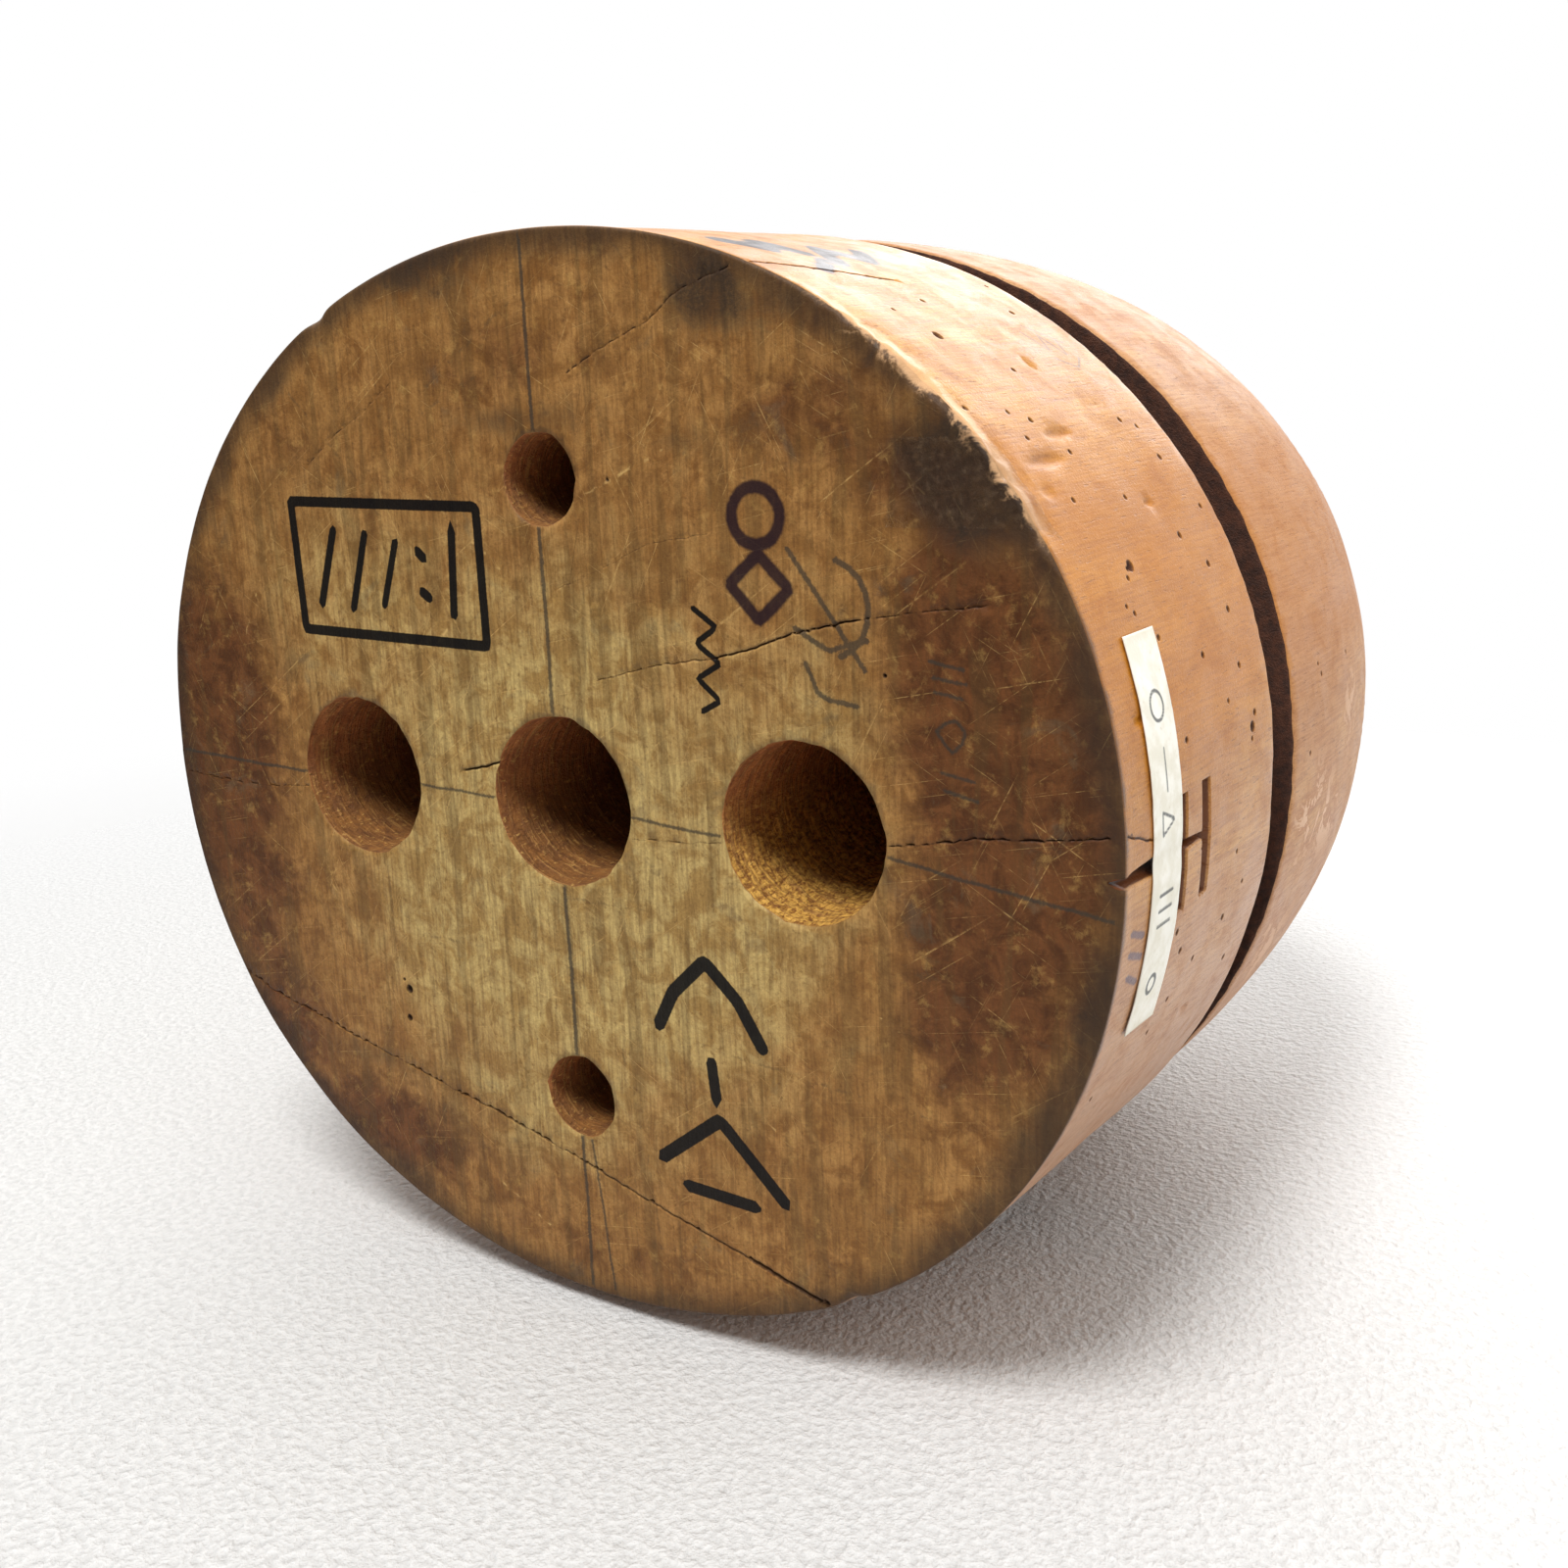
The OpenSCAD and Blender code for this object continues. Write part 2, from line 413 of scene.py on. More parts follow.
# Each crack wanders a little, so its line is fixed once here
BASE_CRACKS = [(0.75 * half, 0.7 * depth, resample(line, 0.8, 0.08)) for half, depth, line in CRACKS]
SIDE_CRACKS = [(half, depth, resample(unroll(line), 0.6, 0.1)) for half, depth, line in WALL_CRACKS]
INK_LINES = [(half, resample(line, 1.0)) for half, line in INK]
STAMP_LINES = [(half, resample(line, 0.8)) for half, line in STAMPS]
PENCIL_LINES = [(half, resample(line, 2.0, 0.05)) for half, line in PENCIL]
FAINT_LINES = [(half, resample(line, 2.0, 0.05)) for half, line in FAINT]
SCRATCH_LINES = [(0.16, resample(line, 2.0, 0.1)) for line in SCRATCHES]
BLUE_LINES = [(half, resample(unroll(line), 1.0)) for half, line in WALL_BLUE]
SMEAR_LINES = [(half, resample(unroll(line), 1.0)) for half, line in WALL_SMEAR]
SIDE_PENCIL = [(half, resample(unroll(line), 1.0)) for half, line in WALL_PENCIL]
PIN_SIZES = 0.34 + 0.2 * RANDOM.random(len(WALL_PINS))
SIDE_PINS = [(a * MM_PER_DEGREE, y, r) for (a, y), r in zip(WALL_PINS, PIN_SIZES)]
SIDE_PINS += [(a * MM_PER_DEGREE, y, 0.85) for a, y in BIG_PINS]
NOTCH_SIDE = np.array(unroll([(NOTCH_ANGLE + half, y) for y, half in NOTCH_SHAPE]
                             + [(NOTCH_ANGLE - half, y) for y, half in NOTCH_SHAPE[::-1]]))
NOTCH_MIDDLE = unroll([(NOTCH_ANGLE, 0), (NOTCH_ANGLE, 27)])
CUTS_SIDE = [np.array(unroll(c)) for c in CHISEL_CUTS]

# ---------------------------------------------------------------- sockets, from the record's mounts
BORES = []
for name in ("centre_socket", "right_socket", "left_socket", "upper_peg_hole", "lower_peg_hole"):
    mount = MOUNTS[name]
    place = [c / MM for c in mount["pos_m"]]
    BORES.append((place[0], place[2], mount["dims"]["r_mm"], mount["dims"]["length_mm"]))


def bore_edge(bore):
    """The ragged mouth of a drilled socket, as angles and radii."""
    x, z, radius, _ = bore
    count = int(radius * 7)
    turn = np.arange(count) * 2 * np.pi / count
    ring = np.stack([x + radius * np.cos(turn), turn * 0, z + radius * np.sin(turn)], -1)
    tear = soft_noise(ring, 1.6, 2.2) ** 3
    return turn, radius + 0.55 * tear


# ---------------------------------------------------------------- triangulated faces
def turned_area(corners, faces):
    """Twice each triangle's area, negative where it turns clockwise."""
    a, b, c = (corners[faces[:, k]] for k in range(3))
    u, w = b - a, c - a
    return u[:, 0] * w[:, 1] - u[:, 1] * w[:, 0]


def triangulate(loops, loose):
    """Triangles of the flat region inside the first loop and outside the others, through loose points."""
    points, edges, owner = [], [], []
    for number, loop in enumerate(loops):
        start = len(points)
        points += [Vector(p) for p in np.asarray(loop).tolist()]
        edges += [(start + i, start + (i + 1) % len(loop)) for i in range(len(loop))]
        owner += [number] * len(loop)
    owner += [-1] * len(loose)
    points += [Vector(p) for p in loose.tolist()]
    found = delaunay_2d_cdt(points, edges, [], 0, 1e-5)
    corners = np.array([tuple(v) for v in found[0]])
    faces = np.array(found[2])
    area = turned_area(corners, faces)
    # A triangle with all its corners on one loop is inside that loop if it turns the way the loop does
    names = np.array([first[0] for first in found[3]])[faces]
    loop_of = np.array(owner)[names]
    alone = (loop_of[:, 0] == loop_of[:, 1]) & (loop_of[:, 1] == loop_of[:, 2]) & (loop_of[:, 0] >= 0)
    order = np.take_along_axis(faces, np.argsort(names, 1), 1)
    inside_loop = turned_area(corners, order) > 0
    wanted = np.where(loop_of[:, 0] == 0, inside_loop, ~inside_loop)
    good = (~alone | wanted) & (np.abs(area) > 1e-7)
    return corners, faces[good], area[good]


def scatter(low, high, spacing, seed):
    """A jittered grid of points that fills a rectangle."""
    u = np.arange(low[0], high[0], spacing)
    v = np.arange(low[1], high[1], spacing)
    grid = np.stack(np.meshgrid(u, v, indexing="ij"), -1).reshape(-1, 2)
    return grid + np.random.default_rng(seed).uniform(-0.28, 0.28, grid.shape) * spacing


CROWDED = 0.16                       # mesh points of the marks keep about this far apart


def thin_out(points, spacing):
    """Drops points that crowd each other."""
    cell = np.round(points / spacing).astype(int)
    _, first = np.unique(cell, axis=0, return_index=True)
    return points[np.sort(first)]


def beyond(points, loop, middle):
    """How far points lie outside a round loop, seen from its middle."""
    ring = np.asarray(loop) - middle
    p = points - middle
    reach = np.interp(np.arctan2(p[:, 1], p[:, 0]), np.arctan2(ring[:, 1], ring[:, 0]),
                      np.hypot(ring[:, 0], ring[:, 1]), period=2 * np.pi)
    return np.hypot(p[:, 0], p[:, 1]) - reach


class Body:
    """Collects the body's vertices and faces, each face with its material's number."""

    def __init__(self):
        self.points, self.faces, self.kinds, self.count = [], [], [], 0

    def add(self, points, faces, kind):
        self.points.append(points)
        self.faces.append(np.asarray(faces) + self.count)
        self.kinds.append(np.full(len(faces), kind))
        self.count += len(points)

    def add_loops(self, loops, kind, flip=False):
        """A band of triangles through rings of equally many points."""
        loops = np.asarray(loops)
        rows, count = loops.shape[:2]
        index = np.arange(rows * count).reshape(rows, count)
        a, b = index[:-1], index[1:]
        a2, b2 = np.roll(a, -1, 1), np.roll(b, -1, 1)
        faces = np.concatenate([np.stack([a, b2, b], -1), np.stack([a, a2, b2], -1)]).reshape(-1, 3)
        self.add(loops.reshape(-1, 3), faces[:, ::-1] if flip else faces, kind)


BASE_FACE, WALL, GROOVE, BORE = range(4)
body = Body()
ring_angles = LOOP_ANGLES[:-1]
rim = rim_radius(ring_angles)
RIM_MARGIN = 0.3                     # flat ring between the base's triangles and its rounded edge
BORDER_GAP = 0.4                     # loose points stay this far from a border
LIP_MARGIN = 0.35                    # the walls' triangles stop this far from the groove's lips


def add_base_face():
    outer = on_oval(ring_angles, 0, rim + RIM_MARGIN)[:, [0, 2]]
    loops = [outer]
    for bore in BORES:
        turn, radius = bore_edge(bore)
        loops.append(np.stack([bore[0] + radius * np.cos(turn), bore[1] + radius * np.sin(turn)], -1))
    marks = INK_LINES + STAMP_LINES + PENCIL_LINES + plain_lines(BASE_CRACKS)
    detail = np.concatenate([mark_points(marks), pin_points(BASE_PINS),
                             scatter((82.4, -2.9), (85.4, 1.6), 0.35, 4)])
    spread = scatter((-HALF_LENGTH, -HALF_WIDTH), (HALF_LENGTH, HALF_WIDTH), 1.15, 1)
    spread = spread[mark_field(spread, marks) > 0.75]
    loose = np.concatenate([thin_out(detail, CROWDED), spread])

    clear = beyond(loose, outer, (0, 0)) < -BORDER_GAP
    for loop, bore in zip(loops[1:], BORES):
        clear &= beyond(loose, loop, bore[:2]) > BORDER_GAP
    loose = loose[clear]
    flat, faces, area = triangulate(loops, loose)
    faces = np.where((area > 0)[:, None], faces, faces[:, ::-1])
    body.add(np.stack([flat[:, 0], flat[:, 0] * 0, flat[:, 1]], -1), faces, BASE_FACE)


def add_rim():
    """The rounded edge from the base face to the wall."""
    loops = [on_oval(ring_angles, 0, rim + RIM_MARGIN)]
    for turn in (0, 20, 40, 58, 74, 90):
        y = rim * (1 - math.cos(math.radians(turn)))
        inset = rim * (1 - math.sin(math.radians(turn)))
        loops.append(on_oval(ring_angles, y, inset))
    body.add_loops(loops[:5], BASE_FACE, flip=True)
    body.add_loops(loops[4:], WALL, flip=True)


def add_strip(low, high, inset, spacing, detail, seed):
    """A band of wall between two heights, filled with triangles in its unrolled form."""
    u = LOOP_ANGLES * MM_PER_DEGREE
    low = np.broadcast_to(low, u.shape)
    side = np.arange(low[0] + 1.3, high - 0.6, 1.3)
    bottom = np.stack([u, low], -1)
    right = np.stack([np.full(len(side), u[-1]), side], -1)
    top = np.stack([u[::-1], np.full(len(u), high)], -1)
    left = np.stack([np.full(len(side), u[0]), side[::-1]], -1)
    outline = np.concatenate([bottom, right, top, left])
    spread = scatter((u[0], low.min()), (u[-1], high), spacing, seed)
    taken = {tuple(c) for c in np.round(detail).astype(int)}
    spread = spread[[tuple(c) not in taken for c in np.round(spread).astype(int)]]
    loose = np.concatenate([thin_out(detail, CROWDED), spread])
    floor = np.interp(loose[:, 0], u, low)
    inside = (loose[:, 1] > floor + 0.3) & (loose[:, 1] < high - 0.35)
    inside &= (loose[:, 0] > u[0] + 0.4) & (loose[:, 0] < u[-1] - 0.4)
    flat, faces, area = triangulate([outline], loose[inside])
    faces = np.where((area > 0)[:, None], faces[:, ::-1], faces)
    body.add(on_oval(flat[:, 0] / MM_PER_DEGREE, flat[:, 1], inset), faces, WALL)


def wall_detail(low, high):
    marks = plain_lines(SIDE_CRACKS) + BLUE_LINES + SIDE_PENCIL
    pins = [p for p in SIDE_PINS if low < p[1] < high]
    rows = [pin_points(pins)]
    if low < 10:
        rows += [mark_points(marks), polygon_points(NOTCH_SIDE), resample(NOTCH_MIDDLE, 0.3)]
        rows += [polygon_points(cut) for cut in CUTS_SIDE]
        rows.append(scatter((-11, 16), (8, 30), 0.7, 6))
        for degrees, y, wide, tall, _ in DENTS:
            middle = np.array([degrees * MM_PER_DEGREE, y])
            size = np.array([wide, tall]) * 1.6
            rows.append(scatter(middle - size, middle + size, 0.45, 8))
    return np.concatenate(rows)


def groove_loops():
    """The cord groove's rough channel, from the wall's lip to the crown's lip."""
    turn = ring_angles
    around = np.stack([turn * MM_PER_DEGREE, turn * 0, turn * 0], -1)
    loops = [on_oval(turn, GROOVE_START - LIP_MARGIN, 0)]
    steps = [
        (0.12, 0.15), (0.1, 0.7), (0, 1.6), (0, 3), (0, 4.6), (0.1, 6.2), (0.6, 7.4), (1.8, 7.9), (5.5, 8),
        (9.3, 7.9), (10.5, 7.4), (11, 6.2), (11.1, 4.6), (11.1, 3), (11.1, 1.9), (11.05, 1.2), (11.15, 0.75),
    ]
    for number, (up, inset) in enumerate(steps):
        rough = soft_noise(around, 1.3, number * 1.7) - 0.5
        coarse = soft_noise(around, 5.0, 3 + number * 0.2) - 0.5
        sign = 1 if up < 5 else -1
        y = GROOVE_START + up + sign * (0.3 * rough + 0.2 * coarse)
        loops.append(on_oval(turn, y, np.minimum(inset + 0.25 * rough, GROOVE_DEPTH)))
    loops.append(on_oval(turn, GROOVE_END + LIP_MARGIN, CROWN_STEP))
    return loops


def add_cap():
    """The crown above the last straight loop, as rings with fewer points towards the top."""
    outer = on_oval(ring_angles, CAP_START, CROWN_STEP)
    start = math.asin(((CAP_START - CROWN_START) / (CROWN_TOP - CROWN_START)) ** (CROWN_POWER / 2))
    rings = []
    for turn in np.linspace(start, math.pi / 2, 26)[1:-1]:
        y = CROWN_START + (CROWN_TOP - CROWN_START) * math.sin(turn) ** (2 / CROWN_POWER)
        around = 2 * math.pi * MEAN_RADIUS * float(oval_scale(np.array(y)))
        count = max(10, int(around / 2.4))
        rings.append(on_oval(np.arange(count) * 360 / count, y, CROWN_STEP * math.cos(turn)))
    rings.append(np.array([[0, CROWN_TOP, 0]]))
    loose = np.concatenate(rings)
    heights = np.concatenate([outer, loose])[:, 1]
    flat, faces, area = triangulate([outer[:, [0, 2]]], loose[:, [0, 2]])
    faces = np.where((area > 0)[:, None], faces[:, ::-1], faces)
    body.add(np.stack([flat[:, 0], heights, flat[:, 1]], -1), faces, WALL)


def add_bore(bore, number):
    """A drilled socket: torn mouth, helical tool marks, and a flat end."""
    x, z, radius, depth = bore
    turn, mouth = bore_edge(bore)
    rows = [0, 0.25, 0.7] + list(np.arange(1.6, depth - 0.4, 0.85)) + [depth - 0.05]
    loops = []
    for y in rows:
        ring = np.stack([radius * np.cos(turn), turn * 0 + y, radius * np.sin(turn)], -1)
        fade = math.exp(-y / 0.5)
        tool = 0.09 * np.sin(2 * np.pi * (y / 2.3 + number * 0.3) + turn)
        rough = 0.28 * (soft_noise(ring, 1.5, number) - 0.5)
        rough = rough + 0.16 * (soft_noise(ring * [1, 0.6, 1], 0.8) - 0.5)
        if number == 1:
            rough = rough * (1 + 1.2 * np.clip(-np.sin(turn), 0, 1))
        wall = (radius + tool + rough) * (1 - fade) + mouth * fade if y else mouth
        loops.append(np.stack([x + wall * np.cos(turn), turn * 0 + y, z + wall * np.sin(turn)], -1))
    ends = [loops[-1]]
    for share in (0.8, 0.5, 0.2, 0.03):
        ends.append(loops[-1] * [share, 1, share] + [x * (1 - share), 0, z * (1 - share)])
    body.add_loops(loops, BORE)
    body.add_loops(ends, BORE)


add_base_face()
add_rim()
add_strip(rim_radius(LOOP_ANGLES), GROOVE_START - LIP_MARGIN, 0, 1.7, wall_detail(0, 50), 2)
channel = groove_loops()
body.add_loops(channel[:3], WALL, flip=True)
body.add_loops(channel[2:-1], GROOVE, flip=True)
body.add_loops(channel[-2:], WALL, flip=True)
add_strip(GROOVE_END + LIP_MARGIN, CAP_START, CROWN_STEP, 2.1, wall_detail(63, 110), 3)
add_cap()
for number, bore in enumerate(BORES):
    add_bore(bore, number)


def weld(points, faces, kinds, reach=0.016):
    """Joins the sections' shared borders."""
    cell = np.round(points / reach).astype(np.int64)
    key = (cell[:, 0] * 200003 + cell[:, 1]) * 200003 + cell[:, 2]
    _, first, where = np.unique(key, return_index=True, return_inverse=True)
    faces = where[faces]
    real = (faces[:, 0] != faces[:, 1]) & (faces[:, 1] != faces[:, 2]) & (faces[:, 0] != faces[:, 2])
    return points[first], faces[real], kinds[real]


RIM_HEIGHT = 2.6                     # the base's look reaches this far up its worn edge
WALL_SKIN = 3.4                      # points this close to the outline belong to the wall
BORE_SKIN = 0.8                      # points this far outside a socket's radius belong to the socket
points, faces, kinds = weld(*(np.concatenate(part) for part in (body.points, body.faces, body.kinds)))
angle = oval_angle(points[:, 0], points[:, 2])
height = points[:, 1]
inset = oval_inset(points[:, 0], points[:, 2], height)
side = np.stack([angle * MM_PER_DEGREE, height], -1)
flat = points[:, [0, 2]]
is_base = height < RIM_HEIGHT
in_bore = np.zeros(len(points), bool)
for x, z, radius, depth in BORES:
    in_bore |= (np.hypot(flat[:, 0] - x, flat[:, 1] - z) < radius + BORE_SKIN) & (height > 0.02)
on_wall = (inset < WALL_SKIN) & ~in_bore & (height > 0.05)
wall_share = np.where(on_wall, np.clip(height / 2.5, 0, 1), 0)
on_face = is_base & ~in_bore


def stored(marks, mask, coordinates, measure):
    """Distances to marks at the points that a mask picks, and FAR at the others."""
    out = np.full(len(points), FAR)
    out[mask] = measure(coordinates[mask], marks)
    return out


def on_base(marks, measure=mark_field):
    return stored(marks, on_face, flat, measure)


def on_side(marks, measure=mark_field):
    return stored(marks, on_wall, side, measure)


pins_base = on_base(BASE_PINS, pin_field)
pins_side = on_side(SIDE_PINS, pin_field)
fields = {
    "ink": on_base(INK_LINES),
    "stamp": on_base(STAMP_LINES),
    "pencil": np.minimum(on_base(PENCIL_LINES), on_side(SIDE_PENCIL)),
    "faint": on_base(FAINT_LINES),
    "scratch": on_base(SCRATCH_LINES),
    "blue": on_side(BLUE_LINES),
    "smear": on_side(SMEAR_LINES),
    "crack": np.minimum(on_base(plain_lines(BASE_CRACKS)), on_side(plain_lines(SIDE_CRACKS))),
    "pin": np.minimum(pins_base, pins_side),
}


def blobs(coordinates, spots):
    """The sum of soft blobs, each (u, v, size along u, size along v, strength)."""
    total = np.zeros(len(points))
    for u, v, wide, tall, strength in spots:
        away_u = (coordinates[:, 0] - u) / wide
        away_v = (coordinates[:, 1] - v) / tall
        total += strength * np.exp(-away_u ** 2 - away_v ** 2)
    return total


def stains(spots):
    return np.where(is_base | in_bore, np.clip(blobs(flat, spots), 0, 1.5), 0)


# Stains on the base, in millimetres, and peeled patches on the crown, at an angle and a height
GRIME = [
    (-19, 74, 13, 5, 1.1), (29, 70, 6, 5, 1.9), (40, 66, 10, 3.5, 0.8), (52, 58, 9, 4, 0.5),
    (-3, 54, 15, 2.6, 0.95), (24, 51, 5, 2.4, 0.8), (-66, -38, 12, 4, 0.6), (-44, -48, 17, 3, 0.75),
    (83, -14, 4, 16, 0.8), (76, -36, 6, 10, 0.8), (58, -56, 11, 6, 0.55), (80, -17, 5, 6, 0.5),
    (-54, 62, 7, 5, 0.7), (67, 45, 9, 7.5, 2.3), (60, 50, 6, 4.5, 1.0), (80, 22, 4, 12, 0.6),
    (-82, -12, 4, 22, 0.45), (-70, 42, 6, 9, 0.4), (8, -77, 26, 4, 0.4), (-40, -68, 16, 4, 0.4),
    (-78, 24, 4, 12, 0.35), (0, 77.5, 46, 3, 0.4), (36, -2, 40, 2.4, 0.25), (-30, -2, 40, 1.6, 0.2),
]
RED = [
    (-72, 8, 16, 26, 1.0), (-64, -26, 12, 14, 0.5), (-50, 52, 14, 10, 0.45), (72, 4, 15, 20, 1.35),
    (66, 26, 13, 16, 1.0), (66, -24, 14, 16, 0.75), (-6, 62, 22, 9, 0.55), (44, 56, 16, 10, 0.6),
    (-30, -62, 24, 10, 0.35), (46, -56, 14, 12, 0.35), (60, 45, 10, 8, 0.6), (-66, -46, 14, 9, 0.9),
    (-46, -60, 18, 8, 0.8), (-78, -10, 10, 30, 0.6), (10, -72, 30, 6, 0.5),
]
OLIVE = [
    (0, 12, 36, 24, 1.0), (8, -26, 32, 20, 1.0), (-24, -20, 24, 26, 0.7), (-44, 30, 20, 16, 0.5),
    (46, 8, 10, 18, 0.5), (-6, -52, 20, 10, 0.55), (30, -12, 14, 18, 0.5),
]
PEELED = [
    (-6, 74, 7, 9, 1.0), (-9, 88, 6, 8, 0.9), (-16, 68, 6, 7, 0.8),
    (2, 96, 7, 7, 0.7), (12, 70, 5, 4, 0.5), (-24, 76, 8, 9, 0.7),
]
fields["grime"] = stains(GRIME)
fields["red"] = stains(RED)
fields["olive"] = stains(OLIVE)
fields["edge"] = np.clip(inset, 0, 20)
fields["degrees"] = angle
fields["depth"] = height
peel = blobs(side, [(degrees * MM_PER_DEGREE, *rest) for degrees, *rest in PEELED])
fields["peel"] = np.where(height > GROOVE_END, np.clip(peel, 0, 1), 0)


# ---------------------------------------------------------------- wear that is cut or pressed into the body
def cut_share(field_value):
    return np.clip((CUT_EDGE - field_value) / (2 * CUT_EDGE), 0, 1)


def cuts():
    """How deep the V-shaped notch and the chisel cuts go in, past the body's own surface."""
    half = np.interp(height, *zip(*NOTCH_SHAPE)) * MM_PER_DEGREE
    deep = CUT_DEPTH * np.clip(-polygon_field(side, NOTCH_SIDE) / half, 0, 1)
    ragged = 0.5 * soft_noise(points, 1.2, 8.0)
    for corners in CUTS_SIDE:
        deep = np.maximum(deep, (CUT_DEPTH - 0.5 - ragged) * cut_share(polygon_field(side, corners)))
    near_end = (np.abs(angle) < 12) & (height < 32) & ~in_bore & (inset < 6)
    return np.where(near_end, np.maximum(deep - np.clip(inset, 0, None), 0), 0)


def crack_depth(cracks, mask, coordinates):
    """How deep the cracks go at each point."""
    deepest = np.zeros(len(points))
    for half, depth, line in cracks:
        away = stored(line, mask, coordinates, line_distance)
        deepest = np.maximum(deepest, depth * np.clip(1 - away / half, 0, 1))
    return deepest


def wear():
    """Moves the body's points inwards where it is cracked, pricked, dented, notched or uneven."""
    moved = points.copy()
    down = crack_depth(BASE_CRACKS, on_face, flat)
    down = np.maximum(down, 1.4 * np.clip(-pins_base / 0.4, 0, 1))
    uneven = 0.12 * soft_noise(points, 14.0) + 0.05 * soft_noise(points, 3.0, 5.0)
    calm = np.clip(inset / 3, 0, 1)
    under_tape = TAPE_HOLLOW * np.clip((flat[:, 0] - TAPE_LOW.x / MM + 1) / 2, 0, 1)
    under_tape *= np.clip((flat[:, 1] - TAPE_LOW.z / MM + 1) / 2, 0, 1)
    under_tape *= np.clip((TAPE_HIGH.z / MM + 1 - flat[:, 1]) / 2, 0, 1)
    moved[:, 1] += np.where(on_face & (height < 0.02), down + uneven * calm + under_tape, 0)

    inward = crack_depth(SIDE_CRACKS, on_wall, side)
    inward = np.maximum(inward, 1.2 * np.clip(-pins_side / 0.3, 0, 1))
    for degrees, y, wide, tall, depth in DENTS:
        u = (side[:, 0] - degrees * MM_PER_DEGREE) / wide
        v = (height - y) / tall
        inward += wall_share * depth * np.exp(-(u * u + v * v) ** 2)
    inward += wall_share * (0.3 * soft_noise(points, 11.0, 2.0) + 0.06 * soft_noise(points, 3.5, 9.0))
    inward += 0.12 * fields["peel"] * (soft_noise(points, 3.0, 4.0) > 0.5)
    chips = np.clip((angle - 27) / 5, 0, 1) * np.clip((60 - angle) / 6, 0, 1)
    chips = chips * np.clip(1 - height / 5.5, 0, 1)
    inward += wall_share * 1.9 * chips * soft_noise(points, 1.9, 6.0) ** 2

    inward = np.where(on_wall | (cut_in > 0), inward + cut_in, 0)
    away = np.hypot(points[:, 0], points[:, 2])
    for axis in (0, 2):
        moved[:, axis] -= points[:, axis] / np.maximum(away, 1) * inward
    return moved


cut_in = cuts()
fields["cut"] = 0.3 - cut_in
# The under value, how far below a socket's middle a point lies, drives the painted light and shade on the
# socket walls in bore_material. The split value picks the sockets right of x = 20, whose lower walls get the
# bright torn-fibre colour, partly painted light.
fields["under"] = np.zeros(len(points))
fields["split"] = np.zeros(len(points))
for x, z, radius, depth in BORES:
    here = in_bore & (np.hypot(flat[:, 0] - x, flat[:, 1] - z) < radius + BORE_SKIN)
    fields["under"] = np.where(here, (z - flat[:, 1]) / radius, fields["under"])
    if x > 20:
        fields["split"] = np.where(here, 1.0, fields["split"])
points = wear()


def make_piece(name, points_mm, faces, fields, materials, kinds=None):
    """A mesh object at the origin, with its named values stored on its points."""
    mesh = bpy.data.meshes.new(name)
    mesh.vertices.add(len(points_mm))
    mesh.vertices.foreach_set("co", (np.asarray(points_mm) * MM).astype(np.float32).ravel())
    faces = np.asarray(faces)
    sides = faces.shape[1]
    mesh.loops.add(faces.size)
    mesh.loops.foreach_set("vertex_index", faces.astype(np.int32).ravel())
    mesh.polygons.add(len(faces))
    mesh.polygons.foreach_set("loop_start", np.arange(0, faces.size, sides, dtype=np.int32))
    mesh.polygons.foreach_set("loop_total", np.full(len(faces), sides, dtype=np.int32))
    if kinds is not None:
        mesh.polygons.foreach_set("material_index", kinds.astype(np.int32))
    mesh.polygons.foreach_set("use_smooth", np.full(len(faces), True))
    mesh.update(calc_edges=True)
    for key, values in fields.items():
        mesh.attributes.new(key, "FLOAT", "POINT").data.foreach_set("value", values.astype(np.float32))
    for material in materials:
        mesh.materials.append(material)
    piece = bpy.data.objects.new(name, mesh)
    bpy.context.scene.collection.objects.link(piece)
    return piece


